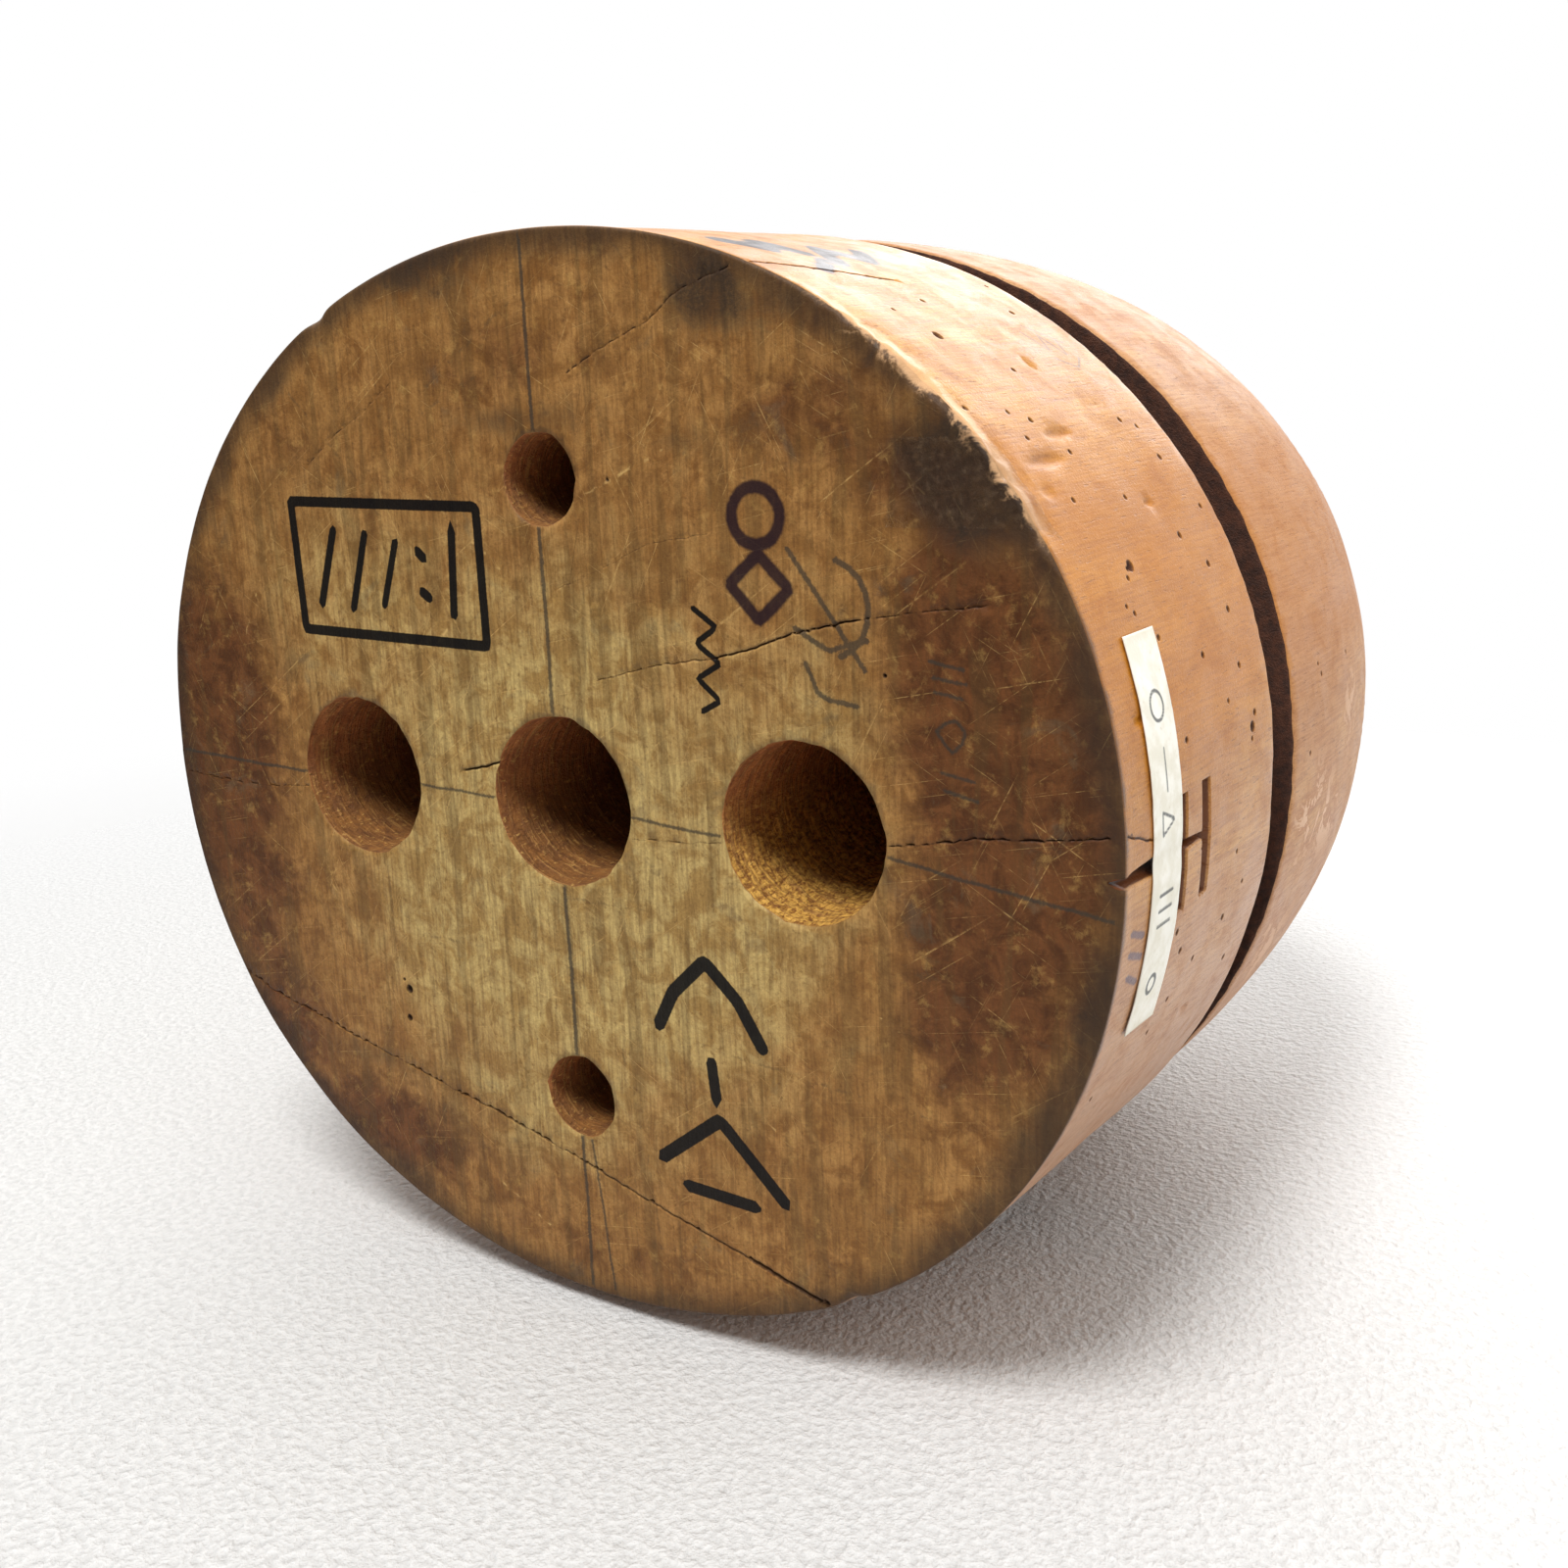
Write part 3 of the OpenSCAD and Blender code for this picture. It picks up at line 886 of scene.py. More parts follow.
# ---------------------------------------------------------------- node helpers
class Tree:
    """A material's nodes, built by short calls that return sockets."""

    def __init__(self, name):
        self.material = bpy.data.materials.new(name)
        self.material.use_nodes = True
        self.nodes = self.material.node_tree.nodes
        self.links = self.material.node_tree.links
        self.shader = self.nodes["Principled BSDF"]

    def put(self, socket, value):
        if isinstance(value, bpy.types.NodeSocket):
            self.links.new(value, socket)
        else:
            socket.default_value = value

    def math(self, operation, a, b):
        n = self.nodes.new("ShaderNodeMath")
        n.operation = operation
        self.put(n.inputs[0], a)
        self.put(n.inputs[1], b)
        return n.outputs[0]

    def jitter(self, value, noise, amount):
        """A value with noise added that is as often above as below it."""
        return self.math("ADD", value, self.math("MULTIPLY", self.math("SUBTRACT", noise, 0.5), amount))

    def value(self, name):
        n = self.nodes.new("ShaderNodeAttribute")
        n.attribute_name = name
        return n.outputs["Fac"]

    def place(self):
        """Object coordinates in millimetres."""
        coordinates = self.nodes.new("ShaderNodeTexCoord").outputs["Object"]
        return self.scaled(coordinates, (1000, 1000, 1000))

    def part(self, vector, number):
        """One coordinate of a place: 0 is X, 1 is Y and 2 is Z."""
        n = self.nodes.new("ShaderNodeSeparateXYZ")
        self.links.new(vector, n.inputs[0])
        return n.outputs[number]

    def scaled(self, vector, scale, turn=(0, 0, 0)):
        n = self.nodes.new("ShaderNodeMapping")
        n.inputs["Rotation"].default_value = [math.radians(t) for t in turn]
        n.inputs["Scale"].default_value = scale
        self.links.new(vector, n.inputs["Vector"])
        return n.outputs[0]

    def noise(self, vector, scale=1.0, detail=4.0, rough=0.55, bend=0.0):
        n = self.nodes.new("ShaderNodeTexNoise")
        self.links.new(vector, n.inputs["Vector"])
        n.inputs["Scale"].default_value = scale
        n.inputs["Detail"].default_value = detail
        n.inputs["Roughness"].default_value = rough
        n.inputs["Distortion"].default_value = bend
        return n.outputs["Fac"]

    def fade(self, value, low, high, to_low=0.0, to_high=1.0):
        """A smooth step from to_low to to_high while value goes from low to high."""
        n = self.nodes.new("ShaderNodeMapRange")
        n.interpolation_type = "SMOOTHSTEP"
        self.put(n.inputs["Value"], value)
        if low > high:
            low, high, to_low, to_high = high, low, to_high, to_low
        n.inputs["From Min"].default_value = low
        n.inputs["From Max"].default_value = high
        n.inputs["To Min"].default_value = to_low
        n.inputs["To Max"].default_value = to_high
        return n.outputs[0]

    def mix(self, factor, a, b):
        n = self.nodes.new("ShaderNodeMix")
        n.data_type = "RGBA"
        n.clamp_factor = True
        self.put(n.inputs[0], factor)
        self.put(n.inputs[6], a)
        self.put(n.inputs[7], b)
        return n.outputs[2]

    def between(self, value, low, high, dark, light):
        """One display colour where value is low, and another where it is high."""
        return self.mix(self.fade(value, low, high), rgb(*dark), rgb(*light))

    def layered(self, colour, layers):
        """Lays display colours over a colour.

        A layer is a value, its limits, the share laid at each limit, and the colour."""
        for value, low, high, at_low, at_high, top in layers:
            colour = self.mix(self.fade(value, low, high, at_low, at_high), colour, rgb(*top))
        return colour

    def marked(self, colour, marks):
        """Draws stored marks over a colour, with edges that noise makes ragged.

        A mark is its name, ink, noise, raggedness, strength, and half the width of its edge."""
        for name, ink, noise, ragged, strength, soft in marks:
            edge = self.jitter(self.value(name), noise, ragged)
            ink = rgb(*ink) if isinstance(ink, tuple) else ink
            colour = self.mix(self.fade(edge, -soft, soft, strength, 0.0), colour, ink)
        return colour

    def bump(self, height, distance, strength, normal=None):
        n = self.nodes.new("ShaderNodeBump")
        n.inputs["Distance"].default_value = distance
        n.inputs["Strength"].default_value = strength
        self.links.new(height, n.inputs["Height"])
        if normal is not None:
            self.links.new(normal, n.inputs["Normal"])
        return n.outputs[0]

    def finish(self, colour, roughness, normal):
        self.put(self.shader.inputs["Base Color"], colour)
        self.put(self.shader.inputs["Roughness"], roughness)
        self.links.new(normal, self.shader.inputs["Normal"])
        return self.material


def rgb(red, green, blue):
    """A colour from its 0 to 255 display values."""
    parts = [c / 255 for c in (red, green, blue)]
    return [p / 12.92 if p <= 0.04045 else ((p + 0.055) / 1.055) ** 2.4 for p in parts] + [1.0]


def scratches(t, place, turns, low, high):
    """Fine straight scratches in a few directions."""
    total = None
    for number, turn in enumerate(turns):
        turned = t.scaled(place, (1.0, 1.0, 1.0), (0, turn, 0))
        streak = t.noise(t.scaled(turned, (0.035, 0.2, 2.3)), 1.0 + 0.17 * number, 2.0, 0.4)
        mask = t.fade(streak, low, high)
        total = mask if total is None else t.math("MAXIMUM", total, mask)
    return total


def cut_colour(t, colour, noise):
    """Colours the notch and the chisel cuts, with painted shade that darkens them most where they are
    deepest.
    """
    inside = t.between(t.value("cut"), -1.9, -0.7, (30, 13, 6), (108, 60, 30))
    return t.marked(colour, [("cut", inside, noise, 0.2, 0.95, 0.12)])


def chipped_edge(t, colour, noise):
    """Bare pale wood where the rim is chipped, on the upper right of the base."""
    turn = t.jitter(t.value("degrees"), noise, 12.0)
    along = t.math("MULTIPLY", t.fade(turn, 27, 33), t.fade(turn, 62, 55))
    depth = t.jitter(t.value("depth"), noise, 4.0)
    across = t.math("MULTIPLY", t.fade(depth, 0.1, 0.6), t.fade(depth, 3.6, 2.4))
    across = t.math("MULTIPLY", across, t.fade(t.value("edge"), 2.4, 1.2))
    return t.mix(t.math("MULTIPLY", t.math("MULTIPLY", along, across), 0.75), colour, rgb(216, 170, 124))


def base_material():
    t = Tree("base_wood")
    place = t.place()
    blotch = t.noise(place, 0.07, 5.0, 0.6, 0.4)
    patch = t.noise(place, 0.22, 6.0, 0.68, 0.6)
    speck = t.noise(place, 0.9, 5.0, 0.7)
    fine = t.noise(place, 2.2, 3.0, 0.7)
    fibre = t.noise(t.scaled(place, (1.5, 0.5, 0.11), (0, 9, 0)), 1.0, 4.0, 0.62, 0.25)
    rays = t.noise(t.scaled(place, (0.34, 0.3, 0.03), (0, 12, 0)), 1.0, 3.0, 0.5, 0.6)
    fleck = t.noise(place, 0.3, 6.0, 0.72, 0.15)
    tint = t.noise(place, 0.11, 5.0, 0.65, 0.8)

    ochre = t.between(patch, 0.36, 0.64, (134, 90, 44), (180, 132, 74))
    ochre = t.layered(ochre, [(blotch, 0.4, 0.6, 0.0, 0.5, (146, 104, 54))])
    olive = t.between(patch, 0.4, 0.6, (168, 134, 76), (204, 176, 112))
    olive_share = t.jitter(t.value("olive"), tint, 1.3)
    colour = t.mix(t.fade(olive_share, 0.05, 1.1, 0.0, 0.95), ochre, olive)
    red = t.between(patch, 0.38, 0.62, (68, 34, 16), (108, 62, 32))
    red_share = t.jitter(t.value("red"), tint, 1.5)
    colour = t.mix(t.fade(red_share, 0.2, 0.9, 0.0, 0.92), colour, red)
    colour = t.layered(colour, [
        (tint, 0.6, 0.7, 0.0, 0.3, (112, 104, 82)),
        (fibre, 0.36, 0.6, 0.4, 0.0, (92, 58, 28)),
        (rays, 0.54, 0.62, 0.0, 0.34, (88, 66, 36)),
        (speck, 0.54, 0.7, 0.0, 0.5, (92, 58, 30)),
        (fleck, 0.53, 0.72, 0.0, 0.36, (204, 162, 92)),
        (fine, 0.3, 0.7, 0.26, 0.0, (70, 46, 26)),
    ])

    pale = scratches(t, place, (35, 62, 118, 150, 12), 0.66, 0.76)
    pale = t.math("MULTIPLY", pale, t.fade(speck, 0.42, 0.58, 0.05, 0.42))
    colour = t.mix(pale, colour, rgb(216, 176, 108))
    dark = scratches(t, place, (100, 74, 134), 0.7, 0.78)
    colour = t.mix(t.math("MULTIPLY", dark, 0.35), colour, rgb(70, 46, 26))
    colour = t.marked(colour, [("scratch", (222, 184, 116), speck, 0.6, 0.5, 0.14)])

    grime = t.jitter(t.value("grime"), patch, 2.2)
    grime = t.math("MULTIPLY", t.fade(grime, 0.2, 1.6, 0.0, 0.9), t.fade(fine, 0.3, 0.6, 0.8, 1.0))
    colour = t.mix(grime, colour, rgb(42, 34, 28))
    edge = t.jitter(t.value("edge"), blotch, 9.0)
    colour = t.layered(colour, [(edge, 0.6, 5.4, 0.72, 0.0, (50, 38, 30))])

    colour = t.marked(colour, [
        ("faint", (84, 66, 44), fine, 0.5, 0.42, 0.2),
        ("pencil", (58, 52, 44), fine, 0.55, 0.78, 0.16),
        ("stamp", (30, 14, 26), fleck, 0.7, 0.92, 0.26),
        ("ink", (5, 5, 6), fine, 0.16, 0.98, 0.08),
        ("crack", (58, 34, 18), fine, 0.2, 0.8, 0.08),
        ("pin", (40, 20, 8), fine, 0.2, 0.95, 0.12),
    ])
    colour = cut_colour(t, colour, fine)
    colour = chipped_edge(t, colour, patch)

    rough = t.fade(speck, 0.3, 0.7, 0.42, 0.6)
    rough = t.math("ADD", rough, t.math("MULTIPLY", grime, 0.1))
    normal = t.bump(fibre, 0.0003, 0.35)
    normal = t.bump(t.math("SUBTRACT", fine, t.math("MULTIPLY", pale, 0.6)), 0.00022, 0.4, normal)
    t.shader.inputs["Specular IOR Level"].default_value = 0.18
    return t.finish(colour, rough, normal)


def wall_material():
    t = Tree("wall_wood")
    place = t.place()
    blotch = t.noise(place, 0.045, 5.0, 0.6, 0.5)
    patch = t.noise(place, 0.16, 6.0, 0.66, 0.5)
    speck = t.noise(place, 1.1, 4.0, 0.65)
    fine = t.noise(place, 2.6, 3.0, 0.6)
    fibre = t.noise(t.scaled(place, (2.4, 0.1, 2.4)), 1.0, 4.0, 0.6, 0.2)
    pores = t.noise(t.scaled(place, (3.6, 0.42, 3.6)), 1.0, 2.0, 0.5)
    bands = t.noise(t.scaled(place, (0.22, 0.012, 0.22)), 1.0, 3.0, 0.5, 0.5)
    degrees = t.value("degrees")

    tan = t.between(blotch, 0.36, 0.64, (184, 122, 46), (204, 148, 70))
    # Partly the wood's own tone and partly painted light: the wall is a deeper orange between 2 and 46
    # degrees round the oval, where it faces up and right as it lies. This stands in for how light and sheen
    # fall there.
    amber = t.math("MULTIPLY", t.fade(degrees, 2, 14), t.fade(degrees, 46, 30))
    tan = t.mix(t.math("MULTIPLY", amber, 0.55), tan, rgb(188, 116, 20))
    colour = t.layered(tan, [(bands, 0.38, 0.62, 0.0, 0.55, (172, 110, 38))])
    # Painted light: the wall turns a paler pinkish tan towards its lower side as it lies, standing in for
    # light bounced up from the floor. Past the groove the same pink is the crown's own tone.
    floor_bounce = t.fade(t.jitter(t.part(place, 2), blotch, 30.0), -30, 14, 1.0, 0.0)
    crown = t.fade(t.value("depth"), 60, 63, 0.0, 0.45)
    pink = t.math("MAXIMUM", t.math("MULTIPLY", floor_bounce, 0.8), crown)
    colour = t.mix(pink, colour, rgb(184, 142, 112))
    colour = t.layered(colour, [
        (patch, 0.54, 0.7, 0.0, 0.5, (160, 98, 50)),
        (fibre, 0.34, 0.6, 0.4, 0.0, (140, 84, 42)),
        (pores, 0.6, 0.72, 0.0, 0.5, (106, 62, 32)),
        (speck, 0.58, 0.74, 0.0, 0.45, (132, 80, 44)),
        (fine, 0.56, 0.72, 0.0, 0.3, (222, 180, 130)),
    ])
    # More of the same deeper orange by angle, partly painted light.
    colour = t.mix(t.math("MULTIPLY", amber, 0.36), colour, rgb(176, 104, 6))

    for low, high, share, peeled in ((0.46, 0.5, 0.6, (168, 112, 74)), (0.53, 0.56, 0.8, (226, 190, 158))):
        worn = t.math("MULTIPLY", t.value("peel"), t.fade(patch, low, high))
        colour = t.mix(t.math("MULTIPLY", worn, share), colour, rgb(*peeled))

    rim_turn = t.math("MAXIMUM", t.fade(degrees, 22, 34, 1.0, 0.1), t.fade(degrees, 120, 150))
    rim_edge = t.jitter(t.value("depth"), patch, 3.0)
    rim_dark = t.math("MULTIPLY", t.fade(rim_edge, 0.2, 1.7, 0.8, 0.0), rim_turn)
    colour = t.mix(rim_dark, colour, rgb(70, 46, 30))
    colour = t.marked(colour, [
        ("smear", (34, 34, 44), patch, 2.0, 0.95, 0.35),
        ("pencil", (96, 84, 74), fine, 0.5, 0.6, 0.16),
        ("blue", (72, 66, 92), fine, 0.4, 0.72, 0.2),
        ("crack", (70, 34, 14), fine, 0.2, 0.92, 0.1),
        ("pin", (66, 30, 12), fine, 0.15, 0.95, 0.12),
    ])
    colour = cut_colour(t, colour, fine)
    colour = chipped_edge(t, colour, patch)

    past_groove = t.fade(t.value("depth"), 58, 64, 0.0, 0.16)
    rough = t.math("ADD", t.fade(patch, 0.35, 0.65, 0.28, 0.42), past_groove)
    normal = t.bump(fibre, 0.00025, 0.25)
    normal = t.bump(t.math("SUBTRACT", fine, t.fade(pores, 0.62, 0.74, 0.0, 0.8)), 0.00018, 0.3, normal)
    t.shader.inputs["Specular IOR Level"].default_value = 0.32
    return t.finish(colour, rough, normal)


def groove_material():
    t = Tree("groove_wood")
    place = t.place()
    coarse = t.noise(place, 0.7, 5.0, 0.7)
    fine = t.noise(place, 3.2, 4.0, 0.7)
    colour = t.between(coarse, 0.34, 0.66, (56, 28, 14), (86, 46, 24))
    colour = t.layered(colour, [(fine, 0.6, 0.74, 0.0, 0.5, (118, 70, 38))])
    return t.finish(colour, 0.8, t.bump(fine, 0.0006, 0.8))


def bore_material():
    t = Tree("bore_wood")
    place = t.place()
    coarse = t.noise(place, 0.35, 5.0, 0.65, 0.4)
    torn = t.noise(t.scaled(place, (1.6, 0.8, 1.6)), 1.0, 5.0, 0.7, 0.3)
    rings = t.noise(t.scaled(place, (0.16, 1.5, 0.16)), 1.0, 3.0, 0.55, 0.3)
    # Painted light and shade: the wall below each socket's middle is coloured apart from the wall above it,
    # standing in for light that falls into the socket. In the sockets right of x = 20 it is a bright
    # torn-fibre gold, which is painted light. In the others it is a darker gold, which is painted shade.
    under = t.fade(t.math("ADD", t.value("under"), t.math("MULTIPLY", coarse, 0.5)), -0.3, 0.9)
    dull = t.between(coarse, 0.35, 0.65, (160, 90, 42), (196, 120, 62))
    gold = t.between(coarse, 0.35, 0.65, (114, 70, 28), (152, 100, 42))
    bright = t.between(torn, 0.4, 0.58, (150, 98, 34), (222, 170, 76))
    gold = t.mix(t.value("split"), gold, bright)
    colour = t.layered(t.mix(under, dull, gold), [
        (rings, 0.44, 0.6, 0.0, 0.5, (110, 66, 28)),
        (rings, 0.58, 0.66, 0.0, 0.4, (214, 160, 86)),
        (torn, 0.56, 0.68, 0.0, 0.6, (228, 180, 98)),
        (torn, 0.32, 0.44, 0.55, 0.0, (78, 42, 18)),
        # Painted shade: the socket's wall darkens deeper in.
        (t.value("depth"), 15.0, 48.0, 0.0, 0.12, (84, 48, 22)),
    ])
    colour = t.marked(colour, [("crack", (30, 16, 8), torn, 0.2, 0.9, 0.1)])
    normal = t.bump(torn, 0.0008, 0.8, t.bump(rings, 0.0006, 0.7))
    return t.finish(colour, 0.72, normal)


hat_block = make_piece("hat_block", points, faces, fields,
                       [base_material(), wall_material(), groove_material(), bore_material()], kinds)
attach(hat_block, "root")
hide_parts("block")


# ---------------------------------------------------------------- paper label
LABEL_ANGLES = (-16.3, 19.2)
LABEL_HEIGHTS = (8.3, 17.2)
LABEL_PRINT = [
    (0.24, arc(12.6 * MM_PER_DEGREE, 12.8, 1.9, 0, 360, 24)),
    (0.2, unroll([(8.9, 12.8), (5.2, 12.8)])),
    (0.2, closed(unroll([(3.6, 11), (1.6, 11), (2.6, 14.6)]))),
    (0.24, unroll([(-3.4, 10.8), (-3.4, 14.8)])),
    (0.24, unroll([(-4.8, 10.8), (-4.8, 14.8)])),
    (0.24, unroll([(-6.2, 10.8), (-6.2, 14.8)])),
    (0.3, arc(-12 * MM_PER_DEGREE, 12.6, 1.3, 0, 360, 16)),
]


def sheet_faces(rows, columns):
    """Quads of an upper and a lower layer of points, joined round their border."""
    index = np.arange(rows * columns).reshape(rows, columns)
    a, b = index[:-1, :-1], index[1:, :-1]
    c, d = index[1:, 1:], index[:-1, 1:]
    upper = np.stack([a, b, c, d], -1).reshape(-1, 4)
    lower = upper[:, ::-1] + rows * columns
    border = np.concatenate([index[0, :-1], index[:-1, -1], index[-1, :0:-1], index[:0:-1, 0]])
    ahead = np.roll(border, -1)
    rim_faces = np.stack([border, ahead, ahead + rows * columns, border + rows * columns], -1)
    return np.concatenate([upper, lower, rim_faces])


def make_label():
    degrees = np.linspace(*LABEL_ANGLES, 150)
    up = np.linspace(*LABEL_HEIGHTS, 30)
    turn, y = np.meshgrid(degrees, up, indexing="ij")
    along = np.stack([turn * MM_PER_DEGREE, y, turn * 0], -1)
    wavy = soft_noise(along, 3.0, 4.4) - 0.5
    rise = 0.16 + 0.09 * wavy
    over_notch = np.abs(turn - NOTCH_ANGLE) * MM_PER_DEGREE
    rise = rise - 0.16 * np.exp(-(over_notch / 1.4) ** 2)
    end = np.minimum(turn - LABEL_ANGLES[0], LABEL_ANGLES[1] - turn)
    rise = np.clip(rise + 0.08 * np.exp(-end / 0.8), -0.8, 0.27)
    edge = soft_noise(along, 1.2, 1.1) - 0.5
    side_edge = np.clip(1 - np.minimum(y - LABEL_HEIGHTS[0], LABEL_HEIGHTS[1] - y) / 0.6, 0, 1)
    skew = 0.012 * (turn - 1.5)
    placed = y + 0.1 * edge * side_edge + skew
    upper = on_oval(turn, placed, -rise)
    lower = on_oval(turn, placed, -rise + 0.12)
    coordinates = np.stack([turn * MM_PER_DEGREE, y], -1).reshape(-1, 2)
    lines = [(half, resample(line, 0.6)) for half, line in LABEL_PRINT]
    printed = mark_field(coordinates, lines)
    values = {"print": np.concatenate([printed, np.full(printed.shape, FAR)]),
              "end": np.tile(np.minimum(end * MM_PER_DEGREE, 10).ravel(), 2)}
    every = np.concatenate([upper.reshape(-1, 3), lower.reshape(-1, 3)])
    faces = sheet_faces(*turn.shape)[:, ::-1]
    return make_piece("label_strip", every, faces, values, [paper_material()])


def paper_material():
    t = Tree("label_paper")
    place = t.place()
    mottle = t.noise(place, 0.3, 4.0, 0.6)
    fibre = t.noise(place, 3.0, 3.0, 0.6)
    colour = t.layered(t.between(mottle, 0.35, 0.65, (246, 243, 232), (232, 227, 210)), [
        (t.noise(place, 1.2, 3.0, 0.7), 0.64, 0.76, 0.0, 0.4, (196, 180, 150)),
        (t.value("end"), 0.2, 1.6, 0.25, 0.0, (206, 190, 160)),
    ])
    colour = t.marked(colour, [("print", (44, 52, 58), fibre, 0.12, 0.85, 0.12)])
    return t.finish(colour, 0.62, t.bump(fibre, 0.00006, 0.5))


label = make_label()
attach(label, "root")
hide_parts("paper_label")


# ---------------------------------------------------------------- clear tape on the worn edge
TAPE_WRAP = 4.0                      # how far the tape turns over the rim onto the wall


def make_tape():
    z = np.linspace(TAPE_LOW.z / MM + 0.2, TAPE_HIGH.z / MM - 0.2, 44)
    share = np.linspace(0, 1, 90)
    level, across = np.meshgrid(z, share, indexing="ij")
    lift = (level - z[0]) / (z[-1] - z[0])
    start = TAPE_LOW.x / MM + 0.3 + 2.2 * lift + 0.3 * np.sin(level * 2.1)
    outline = HALF_LENGTH * (1 - (level / HALF_WIDTH) ** OVAL_POWER) ** (1 / OVAL_POWER)
    end = outline + TAPE_WRAP - 1.4 * lift + 0.5 * np.sin(level * 1.3)
    x = start + (end - start) * across
    turn = oval_angle(x, level)
    radius = rim_radius(turn)
    inset = oval_inset(x, level)
    over = np.clip(radius - inset, 0, None)
    bend = np.minimum(over / radius, math.pi / 2)
    y = radius * (1 - np.cos(bend)) + np.clip(over - radius * math.pi / 2, 0, None)
    new_inset = np.where(over > 0, radius * (1 - np.sin(bend)), inset)
    place = np.stack([x, y, level], -1)
    crease = np.abs(soft_noise(place * [1, 1, 2.2], 2.4, 3.3) - 0.5) * 2
    lift_off = 0.03 + 0.13 * (1 - crease) ** 3 - 0.19 * np.cos(bend)
    on_rim = on_oval(turn, y, new_inset - lift_off * np.sin(bend))
    flat_x = np.where(over > 0, on_rim[..., 0], x)
    flat_z = np.where(over > 0, on_rim[..., 2], level)
    rows = []
    for layer in (lift_off, lift_off - 0.02):
        rows.append(np.stack([flat_x, y - layer * np.cos(bend), flat_z], -1).reshape(-1, 3))
    faces = sheet_faces(*x.shape)
    return make_piece("tape_piece", np.concatenate(rows), faces, {}, [tape_material()])


def tape_material():
    t = Tree("clear_film")
    place = t.place()
    dust = t.noise(place, 0.8, 5.0, 0.7)
    colour = t.between(dust, 0.45, 0.7, (84, 60, 40), (160, 130, 100))
    t.shader.inputs["Alpha"].default_value = 0.08
    t.shader.inputs["Specular IOR Level"].default_value = 0.5
    return t.finish(colour, 0.14, t.bump(dust, 0.00004, 0.4))


tape = make_tape()
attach(tape, "root")
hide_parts("tape_patch")


# ---------------------------------------------------------------- floor, light and camera
FLOOR_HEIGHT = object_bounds()[0].z
FLOOR_MIDDLE = (0.0, 0.06, 0.0)
FLOOR_FADE = (150.0, 480.0)          # in mm: the floor starts to fade here, and is gone here


def floor_material():
    """A pale board with a fine grain and painted light that brightens it towards the right and back, which
    fades out so that the backdrop has no horizon.
    """
    t = Tree("floor_board")
    place = t.place()
    grain = t.noise(place, 0.75, 3.0, 0.55)
    pits = t.noise(place, 0.32, 2.0, 0.5)
    colour = t.between(grain, 0.3, 0.7, (196, 195, 193), (212, 211, 209))
    # Painted light: the board is lighter towards +X and behind the block, standing in for light from the
    # right and back.
    bright = t.fade(t.math("ADD", t.part(place, 0), t.math("MULTIPLY", t.part(place, 1), 0.5)), 90, 300)
    colour = t.mix(bright, colour, rgb(244, 244, 244))
    normal = t.bump(grain, 0.0012, 0.7)
    normal = t.bump(pits, 0.001, 0.4, normal)
    away = t.nodes.new("ShaderNodeVectorMath")
    away.operation = "DISTANCE"
    away.inputs[1].default_value = [c / MM for c in FLOOR_MIDDLE[:2]] + [FLOOR_HEIGHT / MM]
    t.links.new(place, away.inputs[0])
    t.put(t.shader.inputs["Alpha"], t.fade(away.outputs["Value"], *FLOOR_FADE, 1.0, 0.0))
    return t.finish(colour, 0.6, normal)


def make_floor():
    mesh = bpy.data.meshes.new("floor")
    half = FLOOR_FADE[1] * MM
    corners = [(-half, -half, FLOOR_HEIGHT), (half, -half, FLOOR_HEIGHT), (half, half, FLOOR_HEIGHT),
               (-half, half, FLOOR_HEIGHT)]
    mesh.from_pydata(corners, [], [(0, 1, 2, 3)])
    mesh.materials.append(floor_material())
    floor = bpy.data.objects.new("floor", mesh)
    bpy.context.scene.collection.objects.link(floor)


LIGHT_TARGET = Vector((0.0, 0.05, 0.0))


def add_area_light(name, place, size, power):
    """A white disk of light that points at the block."""
    lamp = bpy.data.lights.new(name, "AREA")
    lamp.shape = "DISK"
    lamp.size = size
    lamp.energy = power
    light = bpy.data.objects.new(name, lamp)
    light.location = place
    light.visible_camera = False
    light.rotation_euler = (LIGHT_TARGET - Vector(place)).to_track_quat("-Z", "Y").to_euler()
    bpy.context.scene.collection.objects.link(light)


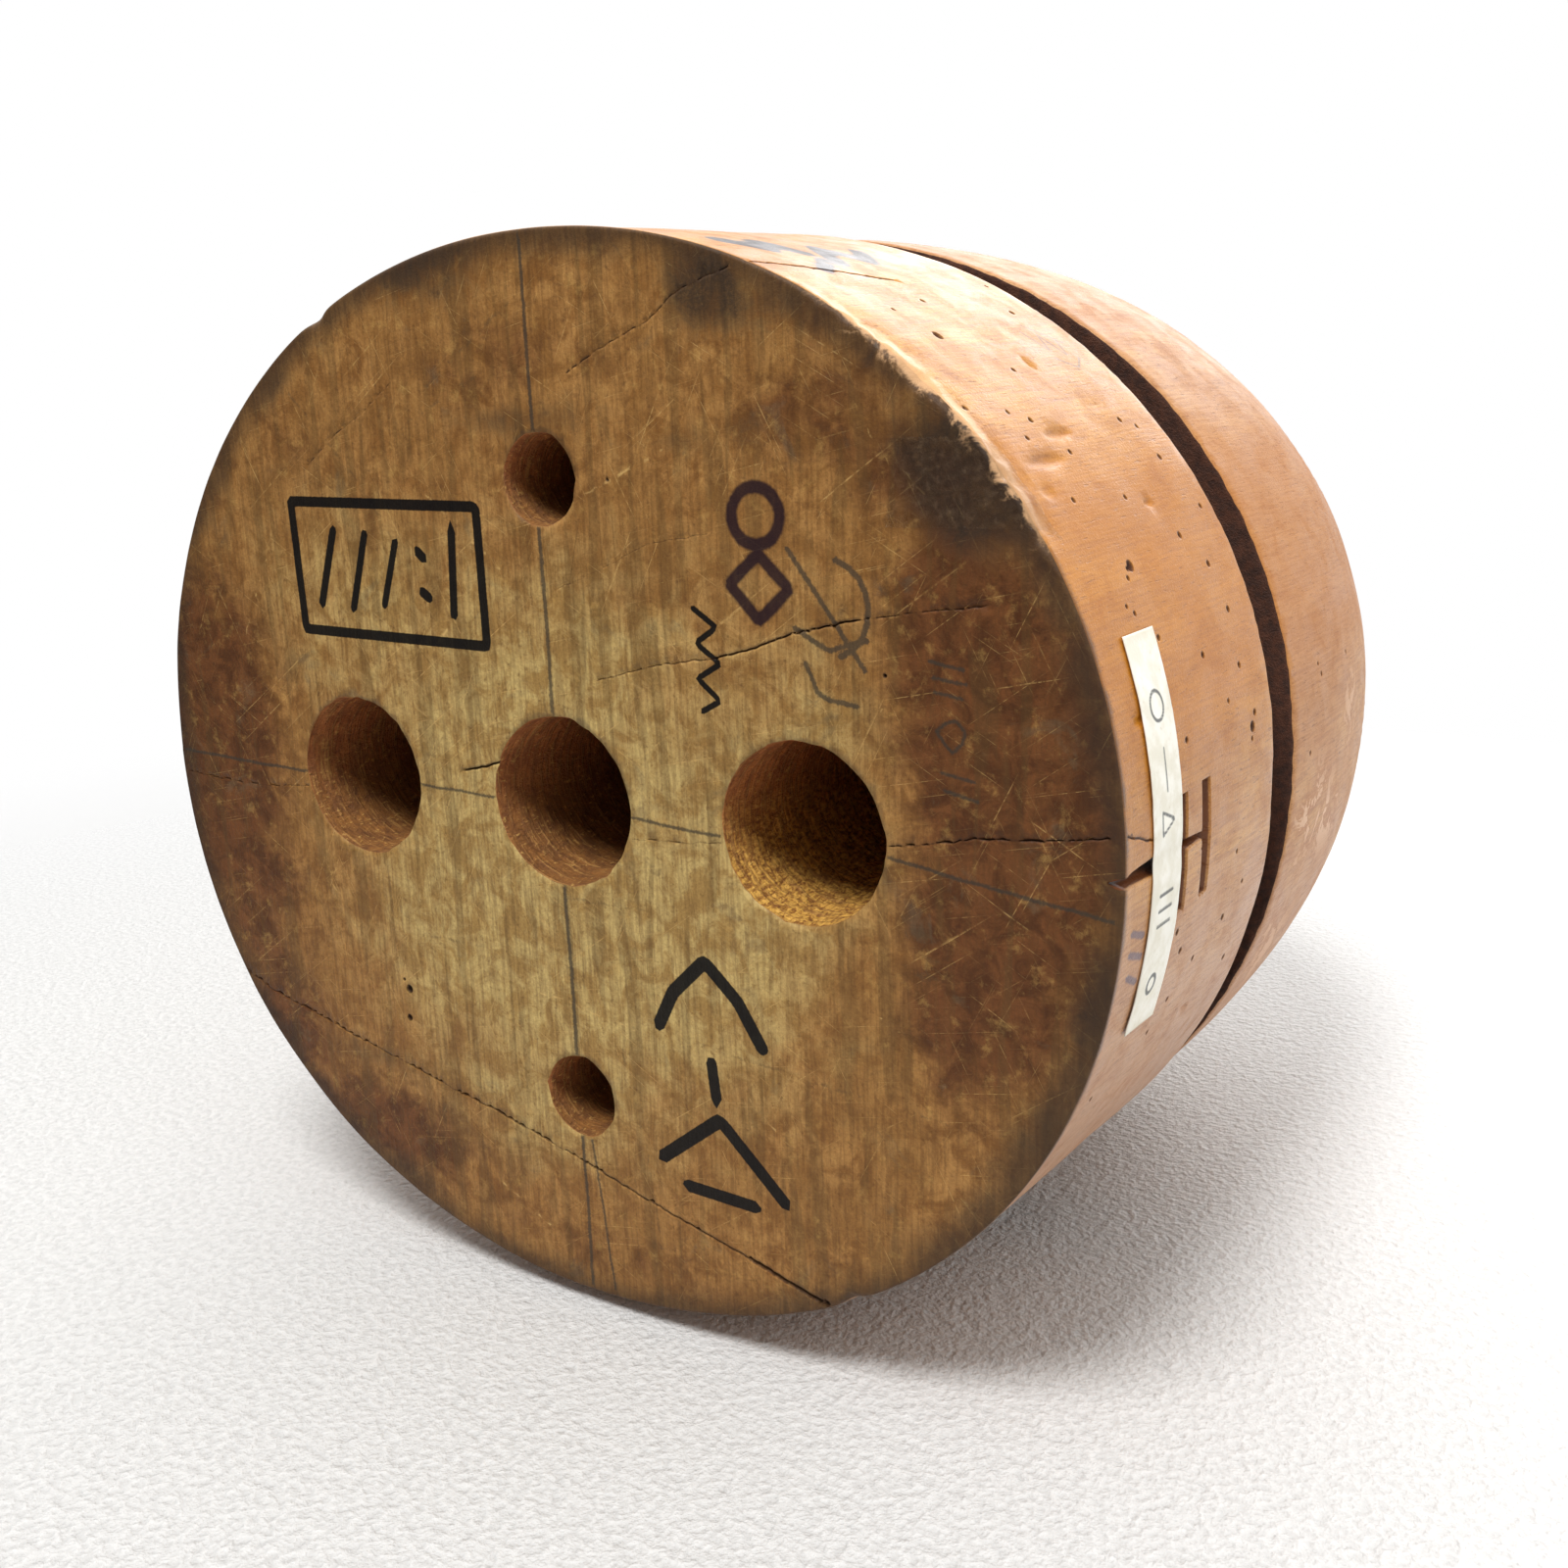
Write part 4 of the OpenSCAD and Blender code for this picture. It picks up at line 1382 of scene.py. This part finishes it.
ROOM_BRIGHT_SIDE = (0.25, 0.85, 0.4)
ROOM_LEVELS = (0.14, 1.3)


def set_world():
    """White to the camera. It lights the block mostly from behind and above, as a bright room does."""
    world = bpy.data.worlds.new("studio")
    world.use_nodes = True
    nodes, links = world.node_tree.nodes, world.node_tree.links
    coordinates = nodes.new("ShaderNodeTexCoord")
    facing = nodes.new("ShaderNodeVectorMath")
    facing.operation = "DOT_PRODUCT"
    facing.inputs[1].default_value = Vector(ROOM_BRIGHT_SIDE).normalized()
    links.new(coordinates.outputs["Generated"], facing.inputs[0])
    share = nodes.new("ShaderNodeMapRange")
    share.interpolation_type = "SMOOTHSTEP"
    share.inputs["From Min"].default_value = -0.7
    share.inputs["From Max"].default_value = 0.9
    share.inputs["To Min"].default_value = ROOM_LEVELS[0]
    share.inputs["To Max"].default_value = ROOM_LEVELS[1]
    links.new(facing.outputs["Value"], share.inputs["Value"])
    seen = nodes.new("ShaderNodeLightPath")
    level = nodes.new("ShaderNodeMix")
    links.new(seen.outputs["Is Camera Ray"], level.inputs[0])
    links.new(share.outputs[0], level.inputs[2])
    level.inputs[3].default_value = 1.0
    links.new(level.outputs[0], nodes["Background"].inputs["Strength"])
    nodes["Background"].inputs["Color"].default_value = (1.0, 1.0, 1.0, 1.0)
    bpy.context.scene.world = world


def add_camera():
    data = bpy.data.cameras.new("camera")
    data.sensor_width = 36.0
    data.lens = 36.54
    camera = bpy.data.objects.new("camera", data)
    right = Vector((0.8429, 0.5369, -0.0343))
    up = Vector((-0.0991, 0.2175, 0.9710))
    back = Vector((0.5288, -0.8151, 0.2365))
    camera.matrix_world = Matrix.Translation((0.1489, -0.1700, 0.0560)) @ Matrix(
        (right, up, back)).transposed().to_4x4()
    bpy.context.scene.collection.objects.link(camera)
    bpy.context.scene.camera = camera


make_floor()
set_world()
add_area_light("key", (0.10, -0.40, 0.80), 0.32, 9.0)
add_area_light("back_glow", (-0.16, 1.1, 0.5), 0.7, 3.6)
add_camera()
bpy.context.scene.view_settings.view_transform = "Standard"
